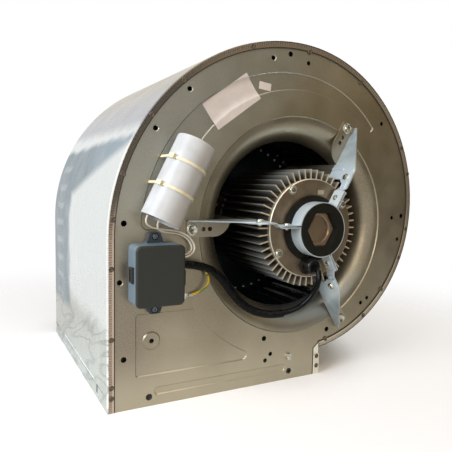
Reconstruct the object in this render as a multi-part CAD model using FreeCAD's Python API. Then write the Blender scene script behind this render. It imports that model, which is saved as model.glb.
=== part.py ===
import FreeCAD, Part
import math
import os

# Double-inlet centrifugal fan with the motor mounted in its front inlet.
# Every shape is built about the fan axis: +X to the right, +Y along the axis away from the
# front side plate's outer face, +Z up. It stands on its outlet. At the end everything is moved
# so that the origin is the bottom centre of the whole fan. Millimetres and degrees throughout.

V = FreeCAD.Vector
ORIGIN = V(0, 0, 0)
AXIS = V(0, 1, 0)

# Scroll housing
HOUSING_W = 331.0        # over the outer faces of the two side plates
AXIS_TO_FLAT = 247.5     # fan axis to the wrap's flat face
AXIS_TO_RIM = 202.1      # fan axis down to the outlet rim
OUTLET_LEN = 289.0       # flat face to outlet wall
SHEET = 1.0
LIP_W = 8.3              # wrap edge folded over each side plate
SCROLL_START = -9.7      # height where the flat face runs into the first arc
SCROLL_R = (238.6, 206.2, 186.9)
SCROLL_TURN = (92.6, 97.6)
OUTLET_WALL = OUTLET_LEN - AXIS_TO_FLAT
NOTCH = 9.0              # bare plate edge between the two lips at the outlet corner
CUTOFF_NOSE = (-25.0, -150.0)
CUTOFF_NOSE_R = 3.0
CREASE_H = 17.0          # stiffening bead on the wrap, above the rim
CREASE_R = 3.0
CREASE_DEPTH = 0.8
CREASE_MARGIN = 14.0
SLOT_Y = 46.0

# Inlet, pressed into each side plate
INLET_R = 139.8
THROAT_R = 110.0
INLET_DEPTH = 30.0
INLET_STEP = 1.2
THROAT_LAND = 2.0

# Panels pressed into the side plates
EMBOSS_H = 1.5
EMBOSS_SLOPE = 1.2
EMBOSS_EDGE = 36.3       # scroll edge to the crescent panel
EMBOSS_R = 171.5         # inner edge of the crescent and of the corner panel
CRESCENT_TIP = 47.0      # angle where the crescent ends
CRESCENT_ROUND = 9.0
CORNER_PANEL = (-215.8, -30.0, -166.3, -93.6)
TIP_ROUND = 6.3          # right end of the corner panel
PANEL_ROUND = 3.5
PILOT_DISC_R = 10.6
FOOT_SLOT = (-193.0, -13.0, -190.4, -180.8)

# Holes in both side plates, x and z from the fan axis
FLAT_FIXING = ((-229.2, 8.5), (-229.2, -143.2))
RIM_FIXING = ((-199.5, -191.4), (-7.1, -191.4))
FLAT_FIXING_R = 3.3
RIM_FIXING_R = 3.85
CLEAR_HOLES = ((-46.6, -142.6), (53.7, -142.4), (-18.7, 214.1), (183.2, 10.3))
CLEAR_HOLE_R = 3.3
PILOT_HOLES = ((-36.4, -164.2), (-44.1, -171.8), (8.9, 206.3), (136.9, 139.6), (164.9, 8.0),
               (177.5, -23.2), (112.8, -111.2), (124.0, -105.1), (-196.9, -125.9))
PILOT_HOLE_R = 2.75
FLARED_HOLES = ((-233.3, -56.4), (-193.4, 112.8), (-153.2, 159.0), (-43.2, 206.8))
FLARE = 1.0
EARTH_BOLT = (-8.6, -171.1)
EARTH_BOLT_R = 2.5
DRILL_GAP = 0.1          # a bolt's hole is this much larger than its shank

# Wheel
WHEEL_GAP = 33.0         # side plate to the wheel's end ring
BLADE_COUNT = 48
BLADE_OUT_R = 132.0
BLADE_CHORD = 18.5
BLADE_IN_R = BLADE_OUT_R - BLADE_CHORD
BLADE_INSET = 0.9        # blades' outer edges from the end rings' skirts
BLADE_T = 0.8
BLADE_LEAN = -20.0       # heading at the inner edge, from the radius
BLADE_HOOK = 65.0        # heading at the outer edge, towards the rotation
DISC_T = 1.5
RING_T = 1.2
RING_LAP = 6.0           # end ring's flat over the blades' ends
RING_SKIRT = 7.0
SKIRT_T = 0.6
RING_IN_R = BLADE_OUT_R - RING_LAP
WHEEL_R = BLADE_OUT_R + BLADE_INSET + SKIRT_T
HUB_R = 20.0
HUB_LEN = 32.0
HUB_FLANGE_R = 46.0
HUB_FLANGE_T = 2.5
HUB_RIVETS = 6
HUB_RIVET_CIRCLE = 36.0
HUB_RIVET_R = 2.4
HUB_RIVET_HEAD = 1.5
SET_SCREW_R = 4.0
SET_SCREW_OUT = 1.5      # from the shaft's flat to the screw's outer end

# Motor
MOTOR_FACE = -29.0       # front end shield, ahead of the side plate
MOTOR_LEN = 134.0        # over the two end shields
SHIELD_R = 61.2
SHIELD_T = 5.2
SPIGOT = 5.0
SPIGOT_WALL = 3.9
FRAME_R = 60.6
FRAME_WALL = 3.6
FIN_R = 73.2
FIN_T = 1.6
FIN_COUNT = 48
FIN_PHASE = -4.7
FIN_SETBACK = 0.2        # shield flange to frame
BOSS_FLATS = 40.0        # hexagonal boss inside the rubber ring
BOSS_LEN = 13.5
BOSS_DISH_R = 17.0
BOSS_DISH = 1.5
BOSS_WALL = 1.5
SHAFT_R = 7.5
SHAFT_HUB_END = 12.0     # shaft beyond the hub
SHAFT_STEP_R = 9.0
SHAFT_BACK = 0.6         # shaft's front end behind the bearing's face
SHAFT_BEVEL = 0.8
BEARING_R = 17.5
BEARING_W = 11.0
BEARING_INNER_R = 10.0
BEARING_OUTER_BORE = 14.8
BEARING_SHIELD_IN = 0.5
BEARING_SHIELD_T = 0.6
SEAL_GAP = 0.4
WASHER_T = 1.2
CORE_R = 35.0
CORE_LEN = 62.0
AIR_GAP = 0.4
STATOR_R = 56.8
STATOR_SLOTS = 12
SLOT_W = 6.0
SLOT_DEPTH = 12.0
WINDING_L = 20.0
WINDING_BEVEL = 4.0
CAGE_W = 10.0            # end ring of the cage, from the core's outside
CAGE_LEN = 5.0
SHIELD_SCREW_CIRCLE = 55.8
SHIELD_SCREW_ANGLE = 32.0
SHIELD_SCREW_R = 2.5
SHIELD_HEAD = 2.4
SHIELD_SCREW_GRIP = 16.0   # thread in the frame's lugs
SCREW_SEAT_R = 5.2
SCREW_SEAT = 0.8
PAD = (7.5, 16.5, 42.0, 47.5)   # blank raised pad on the front shield
PAD_H = 0.8

# Resilient mounting of the motor: rubber rings, split bands, legs and feet
RUBBER_R = 32.3
RUBBER_COLLAR_R = 41.0
RUBBER_COLLAR = 4.0
RUBBER_LEN = 23.3
BAND_GAP = 0.1
BAND_T = 1.0
BAND_W = 18.8
BAND_TAB = 56.0          # outer end of the band's tabs
BAND_SETBACK = 0.2       # band behind the rubber ring's front
RUBBER_LEAD = 0.3        # rubber ring ahead of its nominal length
RUBBER_ROUND = 1.2
LEG_ANGLES = (180.0, 60.0, -60.0)
LEG_T = 1.5
LEG_OFFSET = -9.5        # leg's clockwise face, beside the radius
LEG_ROOT = -5.5          # the same face between the bands' tabs
LEG_JOG = (57.0, 63.0)   # radii where the leg steps from one to the other
LEG_FRONT = -46.5
LEG_ARM = 13.2
LEG_IN_R = 75.7          # back of the leg, outside the fins
LEG_OUT_R = 97.5
LEG_ROUND = 23.0
LEG_INNER_ROUND = 7.0
BEAD_W = 3.6
BEAD_H = 0.8
BEAD_EDGE = 6.5          # bead's middle from the leg's outer edge
ARM_BEAD = (63.5, 73.0)
WEB_T = 1.5
FOOT_T = 1.5
FOOT_OUT = 156.0
FOOT_FREE = 9.3          # free edge of the foot plate, beside the radius
FOOT_CURVE = ((122.0, 9.3), (109.0, 5.4), (99.5, -9.5))
WEB_OUTLINE = ((156.0, 0.0), (156.0, -6.6), (90.0, -44.0), (70.0, -44.0), (70.0, -31.0), (76.0, -24.0),
               (76.0, -16.0), (95.0, -1.0), (99.5, 0.0))
LEG_BOLT_R = 2.5
LEG_BOLT_AT = (78.7, -35.0)
LEG_HEAD = 2.4
BAND_SCREW_R = 2.0
BAND_SCREW_AT = (46.0, -42.0)
BAND_HEAD = 1.8
SCREW_TAIL = 1.4         # screw's end and its nut beyond the sheets
FOOT_BOLT_CIRCLE = 149.0
FOOT_BOLT_R = 3.0
FOOT_FLATS = 10.0
FOOT_SPARE_HOLES = (134.7, 126.3)

# Capacitor in the crescent panel
CAP_R = 22.5
CAP_LEN = 95.0
CAP_AT = (-174.8, 55.0)
CAP_TILT = 63.6
CAP_LID = 6.0
CAP_SEAT = 0.2
CAP_ROUND = 1.5
CAP_LID_WALL = 1.6
CAP_LID_FLOOR = 3.0
CAP_Y = EMBOSS_H - CAP_SEAT - CAP_R
TIE_W = 3.0
TIE_T = 1.2
TIE_AT = (19.0, -12.5)
TIE_GAP = 0.1
TIE_HEAD = 7.0
TIE_HEAD_RISE = 3.4
TIE_HEAD_LAP = 1.0       # head wider than the strap, each side
TIE_HEAD_TURN = 26.0     # head's place round the can

# Terminal box
BOX_AT = (-196.0, -47.0)
BOX_W = 56.0
BOX_H = 67.0
BOX_D = 28.0
BOX_WALL = 2.0
BOX_ROUND = 6.0
LID_D = 10.0
LID_EDGE = 2.5
LID_SPIGOT = 3.0
LID_GAP = 0.3
LUG_REACH = 12.0
LUG_W = 12.0
LUG_T = 8.0
LUG_SEAT = 2.5           # screw heads below the lugs' tops
LUG_FLARE = 4.0          # lugs wider at their roots, each side
LUG_ROUND = 2.5
LUG_SCREW = 7.5          # screw beyond the box wall
BOX_SCREW_R = 2.0
BOX_SCREW_HEAD = 2.2
BOX_SCREW_END = 5.0      # screw ends beyond the side plate
STRIP = (-18.0, 12.0, 8.0, 22.0)   # terminal strip, from the box's middle
STRIP_H = 9.0
STRIP_WAYS = 4
STRIP_WELL = 2.2
LATCH_LEN = 17.0
LATCH_BAR = 2.0
LATCH_ROOT = 3.5
LATCH_REACH = 7.5
CATCH = 0.7
CATCH_H = (2.5, 5.0)     # the catch, from the lid's joint
CATCH_LEN = 8.0
LATCH_SHIFT = (1.7, -4.5)   # left and right latch, from the box's middle

# Cable gland on the front end shield
GLAND_AT = (-6.5, -45.5)
GLAND_FLATS = 20.0
GLAND_BODY = 8.0
GLAND_NUT_R = 9.5
GLAND_NUT = 10.0
GLAND_STEM_R = 6.0
GLAND_ROOM = 0.4         # clearance in the rubber ring's collar

# Cables, from end to end along their real routes
CABLE_D = 6.5
CABLE_ROUTE = ((-6.5, -39.0, -45.5), (-6.5, -54.0, -45.5), (-8.0, -58.5, -60.0),
               (-12.5, -54.5, -76.0), (-22.0, -47.5, -90.5), (-36.0, -41.0, -99.5),
               (-53.0, -34.5, -103.0), (-70.5, -27.5, -98.0), (-87.0, -20.5, -85.5),
               (-104.0, -15.5, -68.0), (-120.5, -13.0, -48.5), (-143.0, -12.0, -38.2),
               (-171.0, -12.0, -37.0))
SLEEVE_D = 9.5
SLEEVE_FROM = 5          # run of the cable's route where the sleeve begins
LEAD_D = 2.2
LEAD_ROUTES = {
    "capacitor_lead_outer": ((-209.5, -21.2, 19.2), (-212.6, -20.8, 12.6), (-206.5, -18.0, 6.0),
                             (-195.0, -14.5, 2.8), (-182.0, -11.5, 1.2), (-169.0, -10.0, -1.0),
                             (-158.0, -10.0, -6.0), (-151.0, -10.0, -14.0), (-149.0, -10.0, -22.5),
                             (-155.5, -10.0, -29.6), (-166.0, -10.0, -30.8), (-171.0, -10.0, -30.9)),
    "capacitor_lead_inner": ((-197.0, -21.2, 13.0), (-199.0, -19.5, 6.5), (-193.0, -15.5, 0.5),
                             (-181.5, -11.0, -2.0), (-169.0, -7.5, -3.6), (-158.5, -7.0, -8.5),
                             (-152.5, -7.0, -16.0), (-151.5, -7.0, -22.5), (-156.5, -6.8, -27.6),
                             (-166.0, -6.8, -29.2), (-171.0, -6.8, -29.4)),
}
EARTH_D = 3.0
EARTH_ROUTE = ((-171.0, -4.2, -40.5), (-157.0, -4.4, -41.0), (-144.5, -5.0, -41.9),
               (-134.0, -6.5, -47.5), (-129.0, -7.5, -57.5), (-132.5, -7.2, -67.5),
               (-142.0, -3.4, -74.8), (-152.0, -2.2, -76.4))
EARTH_LUG_AT = (-159.5, -76.8)
LUG_EYE_R = 4.5
LUG_EYE_T = 1.0
LUG_BARREL = 5.0
LUG_BARREL_WALL = 0.5
LUG_NECK_W = 4.0
LUG_LAP = 1.5            # neck into the eye
EARTH_SCREW_R = 2.0
EARTH_SCREW_END = 5.0    # screw ends beyond the side plate
EARTH_HEAD = 2.4
EARTH_BOLT_FLATS = 8.0
CABLE_GAP = 0.15
CORD_BEND = 0.45

pieces = {}


def point(angle, radius, y=0.0):
    """A point round the fan axis, the angle counted from +X towards +Z."""
    a = math.radians(angle)
    return V(radius * math.cos(a), y, radius * math.sin(a))


def turned(shape, angle):
    """The shape turned round the fan axis from +X towards +Z."""
    copy = shape.copy()
    copy.rotate(ORIGIN, V(0, -1, 0), angle)
    return copy


def block(x0, x1, y0, y1, z0, z1):
    return Part.makeBox(x1 - x0, y1 - y0, z1 - z0, V(x0, y0, z0))


def rod(x, z, radius, y0, y1):
    return Part.makeCylinder(radius, y1 - y0, V(x, y0, z), AXIS)


def tube(x, z, outer, inner, y0, y1):
    return rod(x, z, outer, y0, y1).cut(rod(x, z, inner, y0, y1))


def rod_z(u, y, radius, z0, z1):
    return Part.makeCylinder(radius, z1 - z0, V(u, y, z0), V(0, 0, 1))


def polygon(points):
    return Part.Face(Part.makePolygon(list(points) + [points[0]]))


def spun(points):
    """A closed section of (radius, y) points turned round the fan axis."""
    return polygon([V(r, y, 0) for r, y in points]).revolve(ORIGIN, AXIS, 360)


def hexagon(x, z, flats, y0, y1):
    corners = [point(60.0 * k, flats / math.sqrt(3.0), y0) + V(x, 0, z) for k in range(6)]
    return polygon(corners).extrude(V(0, y1 - y0, 0))


def fused(shapes):
    return shapes[0].multiFuse(shapes[1:]).removeSplitter()


def edges_along(shape, direction, test):
    """Straight edges of the shape along the direction whose middle passes the test."""
    found = []
    for edge in shape.Edges:
        if edge.Curve.TypeId != "Part::GeomLine":
            continue
        run = edge.Vertexes[-1].Point - edge.Vertexes[0].Point
        if run.Length > 1e-6 and abs(abs(run.normalize().dot(direction)) - 1) < 1e-6:
            if test(edge.CenterOfMass):
                found.append(edge)
    return found


def mirrored(shape, y):
    return shape.mirror(V(0, y, 0), AXIS)


def at_back(shape):
    """The same piece on the other side plate."""
    return mirrored(shape, HOUSING_W / 2)


def at_motor_rear(shape):
    """The same piece at the motor's rear end."""
    return mirrored(shape, MOTOR_FACE + MOTOR_LEN / 2)


def scroll_arcs(inset, wall_x):
    """Centre x, centre z, radius, first heading and last heading of each scroll arc."""
    arcs = []
    x, z, heading = -AXIS_TO_FLAT, SCROLL_START, 90.0
    for index, radius in enumerate(SCROLL_R):
        h = math.radians(heading)
        cx = x + radius * math.sin(h)
        cz = z - radius * math.cos(h)
        if index < len(SCROLL_TURN):
            last = heading - SCROLL_TURN[index]
        else:
            last = -180.0 + math.degrees(math.asin((wall_x - cx) / (radius - inset)))
        arcs.append((cx, cz, radius - inset, heading, last))
        heading = last
        h = math.radians(heading)
        x = cx - radius * math.sin(h)
        z = cz + radius * math.cos(h)
    return arcs


def on_arc(arc, heading, y):
    h = math.radians(heading)
    return V(arc[0] - arc[2] * math.sin(h), y, arc[1] + arc[2] * math.cos(h))


def scroll_edges(inset, wall_x, y):
    """Flat face and scroll, from the outlet rim round to the outlet wall."""
    arcs = scroll_arcs(inset, wall_x)
    start = on_arc(arcs[0], arcs[0][3], y)
    edges = [Part.LineSegment(V(start.x, y, -AXIS_TO_RIM), start).toShape()]
    for arc in arcs:
        middle = (arc[3] + arc[4]) / 2
        ends = [on_arc(arc, heading, y) for heading in (arc[3], middle, arc[4])]
        edges.append(Part.Arc(ends[0], ends[1], ends[2]).toShape())
    return edges, V(start.x, y, -AXIS_TO_RIM), on_arc(arcs[-1], arcs[-1][4], y)


def closed_face(edges):
    return Part.Face(Part.Wire(Part.sortEdges(edges)[0]))


def scroll_strip(inset_out, inset_in, y0, y1):
    """The wall between two offsets of the scroll's outline."""
    outer, rim_out, end_out = scroll_edges(inset_out, OUTLET_WALL, y0)
    inner, rim_in, end_in = scroll_edges(inset_in, OUTLET_WALL, y0)
    links = [Part.LineSegment(rim_out, rim_in).toShape(), Part.LineSegment(end_out, end_in).toShape()]
    return closed_face(outer + inner + links).extrude(V(0, y1 - y0, 0))


def scroll_disc(inset, wall_x, y):
    edges, rim, end = scroll_edges(inset, wall_x, y)
    corner = V(wall_x, y, -AXIS_TO_RIM)
    edges += [Part.LineSegment(end, corner).toShape(), Part.LineSegment(corner, rim).toShape()]
    return closed_face(edges)


def inlet_profile():
    """Section of the pressed inlet: a small step, a bell and a straight throat."""
    step_r = INLET_R - INLET_STEP
    run = step_r - THROAT_R
    drop = INLET_DEPTH - INLET_STEP
    bell = (run * run + drop * drop) / (2 * run)
    centre = V(THROAT_R + bell, INLET_DEPTH, 0)
    start = math.atan2(INLET_STEP - centre.y, step_r - centre.x)
    middle = (start - math.pi) / 2

    def bell_point(radius, angle):
        return centre + V(radius * math.cos(angle), radius * math.sin(angle), 0)

    inner = bell - SHEET
    end = -math.pi
    land = INLET_DEPTH + THROAT_LAND
    chain = [V(INLET_R, 0, 0), bell_point(bell, start)]
    edges = [Part.LineSegment(chain[0], chain[1]).toShape()]
    edges.append(Part.Arc(chain[1], bell_point(bell, middle), bell_point(bell, end)).toShape())
    throat = [bell_point(bell, end), V(THROAT_R, land, 0), V(THROAT_R + SHEET, land, 0),
              bell_point(inner, end)]
    for a, b in zip(throat, throat[1:]):
        edges.append(Part.LineSegment(a, b).toShape())
    back = [bell_point(inner, angle) for angle in (end, middle, start)]
    edges.append(Part.Arc(back[0], back[1], back[2]).toShape())
    edges.append(Part.LineSegment(bell_point(inner, start), V(INLET_R, SHEET, 0)).toShape())
    edges.append(Part.LineSegment(V(INLET_R, SHEET, 0), chain[0]).toShape())
    return closed_face(edges)


def pressed_in(plate, panel):
    """A sunk panel with sloping edges in a plate; its metal stands out behind."""
    back = SHEET + EMBOSS_H
    pad = panel.extrude(V(0, back, 0))
    pad = pad.makeChamfer(EMBOSS_SLOPE, [e for e in pad.Edges if e.BoundBox.YMin > back - EMBOSS_H / 2])
    hollow = panel.extrude(V(0, EMBOSS_H, 0))
    floor = [e for e in hollow.Edges if e.BoundBox.YMin > EMBOSS_H / 2]
    return plate.fuse(pad).cut(hollow.makeChamfer(EMBOSS_SLOPE, floor))


def raised_disc(plate, x, z):
    """A flat disc in a sunk panel, pushed back out to the plate's face."""
    disc = rod(x, z, PILOT_DISC_R, 0, SHEET + EMBOSS_H)
    disc = disc.makeChamfer(EMBOSS_SLOPE, [e for e in disc.Edges if e.BoundBox.YMax < SHEET / 2])
    hollow = rod(x, z, PILOT_DISC_R - EMBOSS_SLOPE, SHEET, SHEET + EMBOSS_H)
    return plate.fuse(disc).cut(hollow)


def rounded_panel(face, *rounds):
    """The same panel with corners rounded; each round is a radius and a test of the corner's place."""
    prism = face.extrude(AXIS)
    for radius, test in rounds:
        prism = prism.makeFillet(radius, edges_along(prism, AXIS, test))
    return min(prism.Faces, key=lambda f: f.BoundBox.YMax)


def crescent_panel():
    """Panel between the scroll's edge and the inlet, from the flat face's side to the outlet's."""
    sheet = scroll_disc(EMBOSS_EDGE, OUTLET_WALL, 0.0)
    inside = Part.Face(Part.Wire(Part.makeCircle(EMBOSS_R, ORIGIN, AXIS)))
    reach = 2 * AXIS_TO_FLAT
    sector = polygon([ORIGIN, V(-reach, 0, 0), V(-reach, 0, reach), point(CRESCENT_TIP, 2 * reach)])
    panel = sheet.common(sector).cut(inside).removeSplitter()
    flat_x = EMBOSS_EDGE - AXIS_TO_FLAT
    return rounded_panel(max(panel.Faces, key=lambda f: f.Area),
                         (CRESCENT_ROUND, lambda c: c.x < flat_x + 1 and c.z < 1),
                         (PANEL_ROUND, lambda c: c.x > EMBOSS_EDGE or abs(c.x + EMBOSS_R) < 1))


def corner_panel():
    """Panel below the inlet in the corner of flat face and outlet rim, narrowing to the right."""
    x0, x1, z0, z1 = CORNER_PANEL
    middle = (x0 + x1) / 2
    panel = polygon([V(x0, 0, z0), V(x1, 0, z0), V(x1, 0, z1), V(x0, 0, z1)])
    panel = panel.cut(Part.Face(Part.Wire(Part.makeCircle(EMBOSS_R, ORIGIN, AXIS))))
    return rounded_panel(max(panel.Faces, key=lambda f: f.Area),
                         (TIP_ROUND, lambda c: c.x > middle), (PANEL_ROUND, lambda c: c.x < middle))


def slot_panel():
    x0, x1, z0, z1 = FOOT_SLOT
    panel = polygon([V(x0, 0, z0), V(x1, 0, z0), V(x1, 0, z1), V(x0, 0, z1)])
    return rounded_panel(panel, (PANEL_ROUND, lambda c: True))


def side_plate():
    """A side plate with its inlet, sunk panels and holes, seen from the front."""
    plate = scroll_disc(SHEET, OUTLET_WALL - SHEET, 0.0).extrude(V(0, SHEET, 0))
    plate = plate.cut(rod(0, 0, INLET_R, -SHEET, 2 * SHEET))
    plate = plate.fuse(inlet_profile().revolve(ORIGIN, AXIS, 360))
    for panel in (crescent_panel(), corner_panel(), slot_panel()):
        plate = pressed_in(plate, panel)
    plate = raised_disc(plate, *PILOT_HOLES[-1])
    sets = ((FLAT_FIXING, FLAT_FIXING_R), (RIM_FIXING, RIM_FIXING_R), (CLEAR_HOLES, CLEAR_HOLE_R),
            (PILOT_HOLES, PILOT_HOLE_R), (FLARED_HOLES, PILOT_HOLE_R))
    drills = [rod(x, z, r, -2 * SHEET, 2 * SHEET) for holes, r in sets for x, z in holes]
    for x, z in FLARED_HOLES:
        drills.append(Part.makeCone(PILOT_HOLE_R + FLARE, PILOT_HOLE_R, FLARE * 0.8, V(x, 0, z), AXIS))
    return plate.cut(Part.makeCompound(drills))


def cap_placed(shape):
    """A shape built about the origin along +X moved onto the capacitor's axis."""
    copy = shape.copy()
    copy.rotate(ORIGIN, V(0, -1, 0), CAP_TILT)
    copy.translate(V(CAP_AT[0], 0, CAP_AT[1]))
    return copy


def tie_slots():
    reach = CAP_R + TIE_GAP + TIE_T / 2
    slots = []
    for along in TIE_AT:
        for side in (-1, 1):
            half_w = TIE_W / 2 + DRILL_GAP * 2
            half_t = TIE_T / 2 + DRILL_GAP * 2
            slots.append(cap_placed(block(along - half_w, along + half_w, -SHEET, EMBOSS_H + 2 * SHEET,
                                          side * reach - half_t, side * reach + half_t)))
    return Part.makeCompound(slots)


def side_plates():
    plain = side_plate()
    feet = [rod(p.x, p.z, FOOT_BOLT_R + DRILL_GAP, -SHEET, 2 * SHEET)
            for p in (point(a, FOOT_BOLT_CIRCLE) for a in LEG_ANGLES)]
    small = [rod(EARTH_BOLT[0], EARTH_BOLT[1], EARTH_BOLT_R + DRILL_GAP, -SHEET, 2 * SHEET),
             rod(EARTH_LUG_AT[0], EARTH_LUG_AT[1], EARTH_SCREW_R + DRILL_GAP, -SHEET, 2 * SHEET)]
    for side in (-1, 1):
        small.append(rod(BOX_AT[0], lug_screw_z(side), BOX_SCREW_R + DRILL_GAP, -2 * SHEET, 2 * SHEET))
    pieces["side_plate_front"] = plain.cut(Part.makeCompound(feet + small)).cut(tie_slots())
    pieces["side_plate_back"] = at_back(plain)


def scroll_wrap():
    """The wrap: one strip round the scroll, with its edges folded over both side plates."""
    web = scroll_strip(0.0, SHEET, -SHEET, HOUSING_W + SHEET)
    lip = scroll_strip(0.0, LIP_W, -SHEET, 0.0)
    wrap = fused([web, lip, at_back(lip)])
    height = CREASE_H - AXIS_TO_RIM
    run = HOUSING_W - 2 * CREASE_MARGIN
    rib_x = CREASE_DEPTH - CREASE_R - AXIS_TO_FLAT
    groove = Part.makeCylinder(CREASE_R, run, V(rib_x, CREASE_MARGIN, height), AXIS)
    bead = Part.makeCylinder(CREASE_R + SHEET, run + 2 * SHEET, V(rib_x, CREASE_MARGIN - SHEET, height), AXIS)
    bead = bead.common(block(-AXIS_TO_FLAT + SHEET / 2, 0, 0, HOUSING_W, height - LIP_W, height + LIP_W))
    slot = block(-AXIS_TO_FLAT - SHEET, -AXIS_TO_FLAT + 2 * SHEET, SLOT_Y, SLOT_Y + 2.0,
                 height - 9.0, height - 3.0)
    pieces["scroll_wrap"] = wrap.fuse(bead).removeSplitter().cut(groove).cut(slot)


def cutoff():
    """Outlet wall with its lips, folded inwards to the tongue below the wheel."""
    arcs = scroll_arcs(0.0, OUTLET_WALL)
    corner_z = on_arc(arcs[-1], arcs[-1][4], 0.0).z
    x1 = OUTLET_WALL
    x0 = x1 - SHEET
    nose = V(CUTOFF_NOSE[0], 0, CUTOFF_NOSE[1])
    bend = V(x1, 0, corner_z)
    run = (nose - bend).normalize()
    across = V(-run.z, 0, run.x) * SHEET
    if across.z > 0:
        across = across * -1
    low = bend + across
    inner_bend = low + run * ((x0 - low.x) / run.x)
    wall = polygon([V(x1, SHEET, -AXIS_TO_RIM), V(x0, SHEET, -AXIS_TO_RIM), inner_bend + V(0, SHEET, 0),
                    nose + across + V(0, SHEET, 0), nose + V(0, SHEET, 0), bend + V(0, SHEET, 0)])
    wall = wall.extrude(V(0, HOUSING_W - 2 * SHEET, 0))
    hem = rod(nose.x, nose.z + across.z, CUTOFF_NOSE_R, SHEET, HOUSING_W - SHEET)
    top = corner_z - NOTCH
    edge = block(x0, x1, -SHEET, SHEET, -AXIS_TO_RIM, top)
    lip = polygon([V(x1, -SHEET, -AXIS_TO_RIM), V(x1 - LIP_W, -SHEET, -AXIS_TO_RIM),
                   V(x1 - LIP_W, -SHEET, top - LIP_W / 2), V(x1 - LIP_W / 2, -SHEET, top),
                   V(x1, -SHEET, top)])
    lip = lip.extrude(V(0, SHEET, 0))
    front = edge.fuse(lip)
    pieces["cutoff_plate"] = fused([wall, hem, front, at_back(front)])


def foot():
    """Foot plate and upright web of one motor leg, built at angle 0."""
    low = LEG_OFFSET - WEB_T
    start, middle, tip = [V(r, 0, t) for r, t in FOOT_CURVE]
    corners = [V(tip.x, 0, low), V(FOOT_OUT, 0, low), V(FOOT_OUT, 0, FOOT_FREE), start]
    edges = [Part.LineSegment(a, b).toShape() for a, b in zip([tip] + corners, corners)]
    edges.append(Part.Arc(start, middle, tip).toShape())
    sole = closed_face(edges).extrude(V(0, -FOOT_T, 0))
    sole = sole.makeFillet(2 * FOOT_T, edges_along(sole, AXIS, lambda c: c.x > FOOT_OUT - 1 and c.z > 0))
    web = polygon([V(r, y, low) for r, y in WEB_OUTLINE]).extrude(V(0, 0, WEB_T))
    tip_y = min(y for r, y in WEB_OUTLINE)
    web = web.makeFillet(2 * WEB_T, edges_along(web, V(0, 0, 1), lambda c: c.y < tip_y + 1))
    holes = [rod(FOOT_BOLT_CIRCLE, 0, FOOT_BOLT_R + DRILL_GAP, -2 * FOOT_T, 1)]
    holes += [rod(r, 0, PILOT_HOLE_R, -2 * FOOT_T, 1) for r in FOOT_SPARE_HOLES]
    holes.append(leg_bore(LEG_BOLT_AT, LEG_BOLT_R))
    return sole.fuse(web).removeSplitter().cut(Part.makeCompound(holes))


def band_front():
    """Front edge of the front band."""
    return MOTOR_FACE - RUBBER_LEN


def leg_bore(place, radius):
    """Clearance hole across the leg, the web or the bands' tabs."""
    return rod_z(place[0], place[1], radius + DRILL_GAP, 2 * LEG_OFFSET, -2 * LEG_OFFSET)


def leg_sheet(y0, y1):
    """Section of the leg's sheet, which steps aside past the end shield, swept along the motor."""
    root = RUBBER_R + BAND_GAP + 2 * BAND_T
    line = [(root, LEG_ROOT), (LEG_JOG[0], LEG_ROOT), (LEG_JOG[1], LEG_OFFSET), (LEG_OUT_R, LEG_OFFSET)]
    section = [V(r, y0, t) for r, t in line] + [V(r, y0, t + LEG_T) for r, t in reversed(line)]
    return polygon(section).extrude(V(0, y1 - y0, 0))


def leg():
    """U-shaped leg plate from the front band back along the motor, outside its fins, to the rear band."""
    y0 = LEG_FRONT
    y1 = 2 * MOTOR_FACE + MOTOR_LEN - y0
    span = -2 * LEG_OFFSET
    outline = block(0, LEG_OUT_R, y0, y1, -span, span)
    outline = outline.makeFillet(LEG_ROUND, edges_along(outline, V(0, 0, 1), lambda c: c.x > LEG_OUT_R - 1))
    window = block(-1, LEG_IN_R, y0 + LEG_ARM, y1 - LEG_ARM, -span - 1, span + 1)
    window = window.makeFillet(LEG_INNER_ROUND, edges_along(window, V(0, 0, 1), lambda c: c.x > 1))
    plate = leg_sheet(y0, y1).common(outline.cut(window))
    beads = [bead(LEG_OUT_R - BEAD_EDGE - BEAD_W / 2, LEG_OUT_R - BEAD_EDGE + BEAD_W / 2,
                  y0 + LEG_ROUND, y1 - LEG_ROUND)]
    arm_y = y0 + LEG_ARM / 2
    beads.append(bead(ARM_BEAD[0], ARM_BEAD[1], arm_y - BEAD_W / 2, arm_y + BEAD_W / 2))
    beads.append(at_motor_rear(beads[1]))
    for pressed in beads:
        groove = pressed.copy()
        groove.translate(V(0, 0, -LEG_T))
        plate = plate.fuse(pressed).cut(groove)
    bore = leg_bore(BAND_SCREW_AT, BAND_SCREW_R)
    return plate.cut(Part.makeCompound([leg_bore(LEG_BOLT_AT, LEG_BOLT_R), bore, at_motor_rear(bore)]))


def bead(r0, r1, y0, y1):
    """Round-ended bead pressed out of the leg's sheet."""
    top = LEG_OFFSET + LEG_T
    shape = block(r0, r1, y0, y1, top, top + BEAD_H)
    return shape.makeFillet(BEAD_W * 0.49, edges_along(shape, V(0, 0, 1), lambda c: True))


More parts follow.
